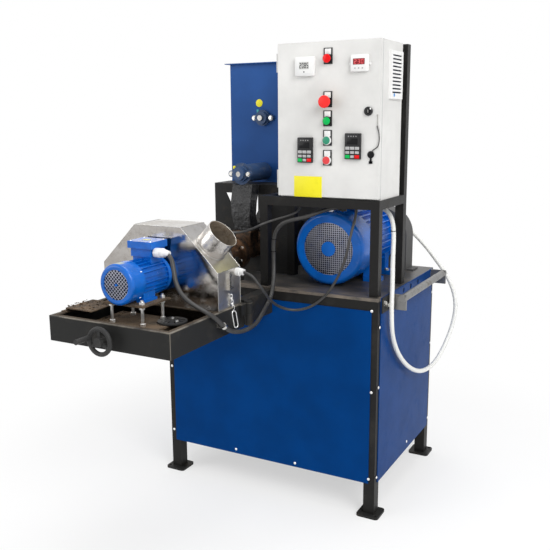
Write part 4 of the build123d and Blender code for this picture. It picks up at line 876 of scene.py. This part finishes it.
def door_instruments():
    """The thermostat with a grey display and the meter with red digits."""
    shell = door_plate(THERMOSTAT_X, 0.424, 0.034, 0.03, 0, 0.016, 0.0035)
    inner = door_plate(THERMOSTAT_X, 0.424, 0.0265, 0.0235, 0.016, 0.0012, 0.0008)
    meter = door_plate(METER_X, 0.428, 0.03, 0.026, 0, 0.012, 0.004)
    lugs = [door_plate(METER_X + side * 0.033, 0.426, 0.003, 0.004, 0, 0.005, 0.001) for side in (-1, 1)]
    body = joined([shell, inner, meter] + lugs)
    settle(body, "instrument_cases", "white_plastic", "door")
    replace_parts(body, "door_meters")
    settle(door_plate(THERMOSTAT_X, THERMOSTAT_GLASS_Z, 0.0175, 0.0115, 0.0172, 0.0004, 0.0002),
           "thermostat_display", "glass_grey", "door")
    settle(digits("2085", THERMOSTAT_X, THERMOSTAT_GLASS_Z, 0.0176, 0.0062, 0.017, 0.0022),
           "thermostat_digits", "gloss_black", "door")
    settle(door_plate(THERMOSTAT_X, 0.4065, 0.0022, 0.0016, 0.0172, 0.0005, 0.0002), "thermostat_key",
           "gloss_black", "door")
    settle(door_plate(METER_GLASS_X, METER_GLASS_Z, 0.0195, 0.0092, 0.012, 0.0008, 0.0004), "meter_display",
           "glass_red", "door")
    settle(digits("230", METER_GLASS_X, METER_GLASS_Z, 0.0128, 0.0085, 0.0135, 0.003), "meter_digits",
           "red_glow", "door")
    keys = [door_disc(METER_GLASS_X + step * 0.0125, 0.4125, 0.0024, 0.012, 0.0012, 0.0004, 16)
            for step in (-1, 0, 1)]
    settle(joined(keys), "meter_keys", "key_grey", "door")


def yellow_plate():
    """A bare yellow plate low on the door."""
    plate = door_plate(0.111, 0.0375, 0.051, 0.0345, 0, 0.0008, 0.0003)
    settle(plate, "yellow_plate", "yellow", "door")


KEY_STRAP = metres([
    (397, -283.5, 1323), (399.5, -284, 1313), (404, -284.5, 1303), (405.5, -284.5, 1288),
    (405.5, -284.5, 1274), (402, -284.5, 1258), (393, -284.5, 1251), (386, -284, 1248),
    (379.5, -283.5, 1240)])
STRAP_RADIUS = 0.0016
LOCK_X, LOCK_Z = 0.322, 0.281
HUNG_KEY_X = 0.3325


def lock_and_key():
    """The lock's core with a painted highlight, and a key that hangs on its cord at the door's edge."""
    core = door_disc(LOCK_X, LOCK_Z, 0.0078, 0.003, 0.0035, 0.001, 28)
    settle(core, "lock_core", "gloss_black", "door")
    # Painted highlight: a small bright plate at the upper right of the lock's black core.
    settle(door_plate(0.33, 0.289, 0.0022, 0.003, 0.004, 0.0016, 0.0004), "lock_highlight", "bright_zinc", "door")
    settle(door_plate(LOCK_X, LOCK_Z, 0.001, 0.0048, 0.0065, 0.0004, 0.0001), "lock_slot", "raw_steel",
           "door")
    pin = joined([door_disc(0.352, 0.269, 0.0022, 0, 0.004, 0.0006, 16),
                  door_plate(0.352, 0.255, 0.0016, 0.016, 0, 0.0012, 0.0004)])
    settle(pin, "strap_pin", "raw_steel", "door")
    strap = curve_cord("key_strap", KEY_STRAP, STRAP_RADIUS)
    paint(strap, "cord_black")
    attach(strap, "door")
    bow = door_disc(HUNG_KEY_X, 0.1465, 0.0115, 0.0008, 0.003, 0.0008, 28)
    blade = [door_plate(HUNG_KEY_X, 0.128, 0.0032, 0.009, 0.0008, 0.0026, 0.0005),
             door_plate(HUNG_KEY_X, 0.122, 0.0062, 0.0042, 0.0008, 0.0026, 0.0005)]
    key = settle(joined([bow] + blade), "door_key", "gloss_black", "door")


SEAL_FRONT, SEAL_BACK = -0.2635, -0.2612
# Left, right, low and high edge of each strip
SEAL_STRIPS = [(0.4035, 0.4056, 1.0895, 1.5864), (0.0444, 0.0465, 1.0895, 1.5864),
               (0.0444, 0.4056, 1.5845, 1.5866)]


def cabinet_side():
    """Door seal, painted shade in the louvre openings, and a small mark on the filter at the cabinet's side.
    """
    seal = [slab((left, SEAL_FRONT, low), (right, SEAL_BACK, high), 0.0003)
            for left, right, low, high in SEAL_STRIPS]
    settle(joined(seal), "door_seal", "key_grey", "machine")
    low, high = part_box("vent_grille")
    # Painted shade: a dark slab behind the grille's louvres darkens their openings.
    louvre_shade = slab((0.4053, low[1] + 0.006, low[2] + 0.008),
                   (high[0] - 0.0035, high[1] - 0.006, high[2] - 0.008), 0.0005)
    settle(louvre_shade, "vent_shade", "painted_shade", "machine")
    mark = disc("x", (high[0] + 0.0002, low[1] + 0.03, low[2] + 0.012), 0.006, 0.0008, 24, 0.0002)
    settle(mark, "filter_mark", "sky_blue", "machine")


# Cutter unit

HOUSING_ENDS = (-0.6588, -0.5272)
HOUSING_OUTLINE = [(-0.409, 0.767), (-0.409, 0.886), (-0.276, 1.019), (-0.098, 1.019), (0.035, 0.886),
                   (0.035, 0.767)]
BEAD = 0.0008
SPOUT_TURN = (0, pi / 4, 0)


def ring(name, centre, turn, major, minor, key, body, sides=64):
    """A round bead of wire or weld."""
    bpy.ops.mesh.primitive_torus_add(location=centre, rotation=turn, major_radius=major, minor_radius=minor,
                                     major_segments=sides, minor_segments=8)
    return settle(bpy.context.object, name, key, body, ROUND)


def wire_path(points, radius, closed=False):
    """A bent wire as a mesh."""
    curve = bpy.data.curves.new("wire", "CURVE")
    curve.dimensions = "3D"
    curve.bevel_depth = radius
    curve.bevel_resolution = 3
    curve.use_fill_caps = True
    spline = curve.splines.new("POLY")
    spline.points.add(len(points) - 1)
    for point, place in zip(spline.points, points):
        point.co = (*place, 1)
    spline.use_cyclic_u = closed
    line = bpy.data.objects.new("wire", curve)
    wire = bpy.data.objects.new("wire_mesh", bpy.data.meshes.new_from_object(line))
    bpy.data.objects.remove(line)
    bpy.context.collection.objects.link(wire)
    return wire


def housing_trim():
    """Weld beads along the housing's edges and round its spout."""
    beads = [wire_path([(x, y, z) for x, z in HOUSING_OUTLINE], BEAD) for y in HOUSING_ENDS]
    beads += [wire_path([(x, y, z) for y in HOUSING_ENDS], BEAD) for x, z in HOUSING_OUTLINE[1:-1]]
    settle(joined(beads), "housing_beads", "zinc", "cutter_unit", ROUND)
    ring("spout_weld", SPOUT_CENTRE + SPOUT_WAY * 0.0008, SPOUT_TURN, 0.0525, 0.0021, "raw_steel",
         "cutter_unit")
    ring("spout_rim", SPOUT_CENTRE + SPOUT_WAY * 0.066, SPOUT_TURN, 0.0512, 0.0009, "zinc", "cutter_unit")


CHAIN_TOP = Vector((0.039, -0.59, 0.8))
HOOK_FOOT = Vector((0.05, -0.578, 0.694))
CHAIN_LINKS = 5
HOOK_LENGTH = 0.056
HOOK_HALF = 0.0085
ARC_STEPS = 12


def snap_hook():
    """A snap hook on a short chain at the housing's side."""
    parts = []
    for index in range(CHAIN_LINKS):
        place = CHAIN_TOP.lerp(HOOK_FOOT, index * 0.085)
        turn = (pi / 2, 0, pi / 2 * (index % 2) + 0.3)
        bpy.ops.mesh.primitive_torus_add(location=place, rotation=turn, major_radius=0.006,
                                         minor_radius=0.0014, major_segments=20, minor_segments=6)
        link = bpy.context.object
        link.scale = (0.75, 1.25, 1)
        bpy.ops.object.transform_apply()
        parts.append(link)
    axis = (HOOK_FOOT - CHAIN_TOP).normalized()
    side = Vector((0.25, 0.97, 0)).normalized() * HOOK_HALF
    start = CHAIN_TOP.lerp(HOOK_FOOT, 0.44)
    angles = [pi * step / ARC_STEPS for step in range(ARC_STEPS + 1)]
    loop = [start + axis * HOOK_HALF * (1 - sin(angle)) + side * cos(angle) for angle in angles]
    loop += [start + axis * (HOOK_LENGTH - HOOK_HALF * (1 - sin(angle))) - side * cos(angle)
             for angle in angles]
    parts.append(wire_path(loop, 0.0021, True))
    settle(joined(parts), "snap_hook", "bright_zinc", "cutter_unit", ROUND)


LID_INSET = 0.008
COWL_CIRCLE = 0.0625
COWL_ANGLES = (0.6, 2.4, 3.9, 5.5)


def cutter_motor_parts():
    """Screws, the white cable gland and the faded patch on the lid of the cutter motor."""
    low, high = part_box("cutter_terminal_box")
    lid = copies(dome("z", 0.0035), [(x, y, high[2]) for x in (low[0] + LID_INSET, high[0] - LID_INSET)
                                     for y in (low[1] + LID_INSET, high[1] - LID_INSET)])
    cowl = copies(dome("z", 0.004), [(SHAFT_X + COWL_CIRCLE * cos(angle), -0.813,
                                      CUTTER_SHAFT_Z + COWL_CIRCLE * sin(angle)) for angle in COWL_ANGLES])
    settle(joined([lid, cowl]), "motor_screws", "bright_zinc", "motor_carriage", ROUND)
    nut = disc("x", (-0.1335, -0.729, 0.948), 0.0155, 0.021, 10, 0.002)
    bpy.ops.mesh.primitive_uv_sphere_add(segments=28, ring_count=16, radius=0.0148,
                                         location=(-0.117, -0.729, 0.949))
    bulb = bpy.context.object
    bpy.ops.mesh.primitive_cone_add(vertices=28, radius1=0.0128, radius2=0.0088, depth=0.022,
                                    location=(-0.1025, -0.7292, 0.9485), rotation=(0, pi / 2 + 0.06, 0))
    sleeve = bpy.context.object
    gland = settle(joined([nut, bulb, sleeve]), "cable_elbow", "white_plastic", "motor_carriage")
    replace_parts(gland, "cutter_gland")
    patch = slab((-0.2, -0.722, high[2]), (-0.176, -0.702, high[2] + 0.0006), 0.0002)
    settle(patch, "lid_patch", "faded_yellow", "motor_carriage")


SIEVE_X, SIEVE_Y = -0.079, -0.742
SIEVE_SLOTS = 9


def sieve_disc():
    """A slotted round plate laid on the motor's slide, with black bars as painted shade in its slots."""
    plate = disc("z", (SIEVE_X, SIEVE_Y, 0.7425), 0.046, 0.006, 64, 0.001)
    settle(plate, "slotted_plate", "wheel_black", "motor_carriage")
    # Painted shade: black bars on the plate's top stand for the dark slot openings.
    slot_shades = []
    for index in range(SIEVE_SLOTS):
        bar = slab((0.018, -0.0022, 0), (0.039, 0.0022, 0.0004), 0.0001)
        turn = Matrix.Rotation(tau * index / SIEVE_SLOTS, 4, "Z")
        bar.data.transform(Matrix.Translation((SIEVE_X, SIEVE_Y, 0.7452)) @ turn)
        slot_shades.append(bar)
    settle(joined(slot_shades), "plate_slot_shades", "gloss_black", "motor_carriage")
    heads = copies(bolt("z", 0.006), [(-0.06, -0.745, 0.7455), (-0.092, -0.722, 0.7455)])
    settle(heads, "plate_bolts", "bright_zinc", "motor_carriage", HARD)


FEED_BODIES = {"cover_feed": "cutter_unit", "slide_feed": "motor_carriage"}
# Each patch: its piece, x span, y span, height and number of pellets
FEED_PATCHES = [("cover_feed", (-0.395, -0.29), (-0.868, -0.756), 0.7815, 46),
                ("slide_feed", (-0.3, -0.14), (-0.875, -0.84), 0.7405, 34),
                ("slide_feed", (-0.3, -0.27), (-0.84, -0.705), 0.7405, 26)]


def spilt_feed():
    """Loose pellets on the tray cover and the slide."""
    chance = Random(7)
    bpy.ops.mesh.primitive_cylinder_add(vertices=8, radius=0.0019, depth=0.006)
    model = bevelled(bpy.context.object, 0.0005, 1)
    grains = {name: [] for name in FEED_BODIES}
    for name, x_span, y_span, z, count in FEED_PATCHES:
        for _ in range(count):
            grain = duplicate(model)
            turn = Matrix.Rotation(chance.uniform(0, tau), 4, "Z") @ Matrix.Rotation(pi / 2, 4, "X")
            size = chance.uniform(0.6, 1.1)
            place = Matrix.Translation((chance.uniform(*x_span), chance.uniform(*y_span), z))
            grain.data.transform(place @ turn @ Matrix.Scale(size, 4))
            grains[name].append(grain)
    bpy.data.objects.remove(model)
    for name, body in FEED_BODIES.items():
        settle(joined(grains[name]), name, "dusty_plate", body)


# Ties and marks

def cord_ties():
    """Black ties round the hose and the cables at the posts."""
    ties = [("hose_tie_high", (0.3895, -0.084, 0.965), (0.25, 0.1, 0), 0.0092, 0.0013),
            ("hose_tie_low", (0.402, -0.119, 0.886), (0.55, 0.25, 0), 0.0092, 0.0013),
            ("cable_tie_low", (0.0245, -0.2805, 0.895), (0, 0, 0), 0.0082, 0.0012),
            ("cable_tie_high", (0.026, -0.281, 0.938), (0, 0.15, 0), 0.0082, 0.0012)]
    for name, place, turn, major, minor in ties:
        ring(name, place, turn, major, minor, "gloss_black", "machine", 28)


def grease_caps():
    """A yellow dot and a teal mark on the hopper, and a yellow cap on the lower bearing."""
    settle(disc("y", (-0.206, 0.0373, 1.405), 0.0145, 0.0014, 40, 0.0003), "yellow_dot", "yellow", "machine")
    settle(slab((-0.217, 0.0366, 1.366), (-0.208, 0.0381, 1.381), 0.0003), "teal_mark", "teal", "machine")
    settle(disc("z", (-0.213, -0.143, 1.17), 0.0048, 0.011, 20, 0.0014), "grease_cap", "yellow", "machine")


# Studio

def look(place, target):
    """The turn that points a lamp from a place at a target."""
    return (Vector(target) - Vector(place)).to_track_quat("-Z", "Y").to_euler()


def area_lamp(name, place, target, size, watts):
    """A large soft lamp."""
    bpy.ops.object.light_add(type="AREA", location=place, rotation=look(place, target))
    lamp = bpy.context.object
    lamp.name = name
    lamp.data.shape = "DISK"
    lamp.data.size = size
    lamp.data.energy = watts


# Strength of the white surround for the rays that neither camera nor gloss sees
AMBIENT = 0.46
SHEET_WHITE = ((0.93, 0.93, 0.93), (0.95, 0.95, 0.95))


def shown(tree):
    """1 for the rays of camera, gloss and transmission, and 0 for all others."""
    path = tree.nodes.new("ShaderNodeLightPath")
    camera, gloss, through = [Wire(tree, path.outputs[f"Is {kind} Ray"])
                              for kind in ("Camera", "Glossy", "Transmission")]
    return (camera + gloss + through).clamped()


def studio():
    """A pale floor that fades to white, a white surround for camera and gloss, and three soft lamps."""
    bpy.ops.mesh.primitive_plane_add(size=30, location=(0, 0, 0))
    floor = bpy.context.object
    floor.name = "studio_floor"
    skin = Finish("floor_paper", Roughness=0.9, Specular_IOR_Level=0.1)
    tone = skin.noise(2.0, 2.0).above(0.2, 0.8)
    skin.colour(skin.blend(tone, *SHEET_WHITE))
    east, north = skin.axis("X"), skin.axis("Y")
    away = (east * east + north * north).above(0.3, 2.2) * 0.45 + 0.55
    glow = skin.tree.nodes.new("ShaderNodeEmission")
    mix = skin.tree.nodes.new("ShaderNodeMixShader")
    skin.tree.links.new((away * shown(skin.tree)).socket, mix.inputs[0])
    skin.tree.links.new(skin.shader.outputs[0], mix.inputs[1])
    skin.tree.links.new(glow.outputs[0], mix.inputs[2])
    skin.tree.links.new(mix.outputs[0], skin.tree.nodes["Material Output"].inputs["Surface"])
    floor.data.materials.append(skin.material)

    world = bpy.data.worlds.new("white_room")
    bpy.context.scene.world = world
    world.use_nodes = True
    tree = world.node_tree
    room = tree.nodes["Background"]
    room.inputs["Color"].default_value = (1, 1, 1, 1)
    tree.links.new((shown(tree) * (1 - AMBIENT) + AMBIENT).socket, room.inputs["Strength"])

    area_lamp("key_lamp", (3.2, -2.4, 3.4), (0, -0.2, 0.9), 2.6, 128)
    area_lamp("fill_lamp", (-2.8, -3.0, 2.2), (0, -0.3, 0.8), 2.6, 44)
    area_lamp("top_lamp", (0.2, 0.2, 4.2), (0, 0, 1.0), 2.4, 60)

set_camera()
make_cords()
paint_nodes()
panel_screws()
machine_bolts()
fan_mesh("main_fan", "machine", (MAIN_SHAFT_X, 0.902), -0.195, 0.092, 0.0075, 0.0021, 0)
fan_mesh("cutter_fan", "motor_carriage", (SHAFT_X, CUTTER_SHAFT_Z), -0.868, 0.046, 0.0085, 0.0018, pi / 4)
label_plates()
push_buttons()
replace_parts(keypad("left_keypad", 0.104, 0.158), "drive_keypads")
keypad("right_keypad", 0.273, 0.172)
door_instruments()
yellow_plate()
lock_and_key()
cabinet_side()
housing_trim()
snap_hook()
cutter_motor_parts()
sieve_disc()
spilt_feed()
cord_ties()
grease_caps()
studio()
bpy.context.scene.view_settings.view_transform = "Standard"
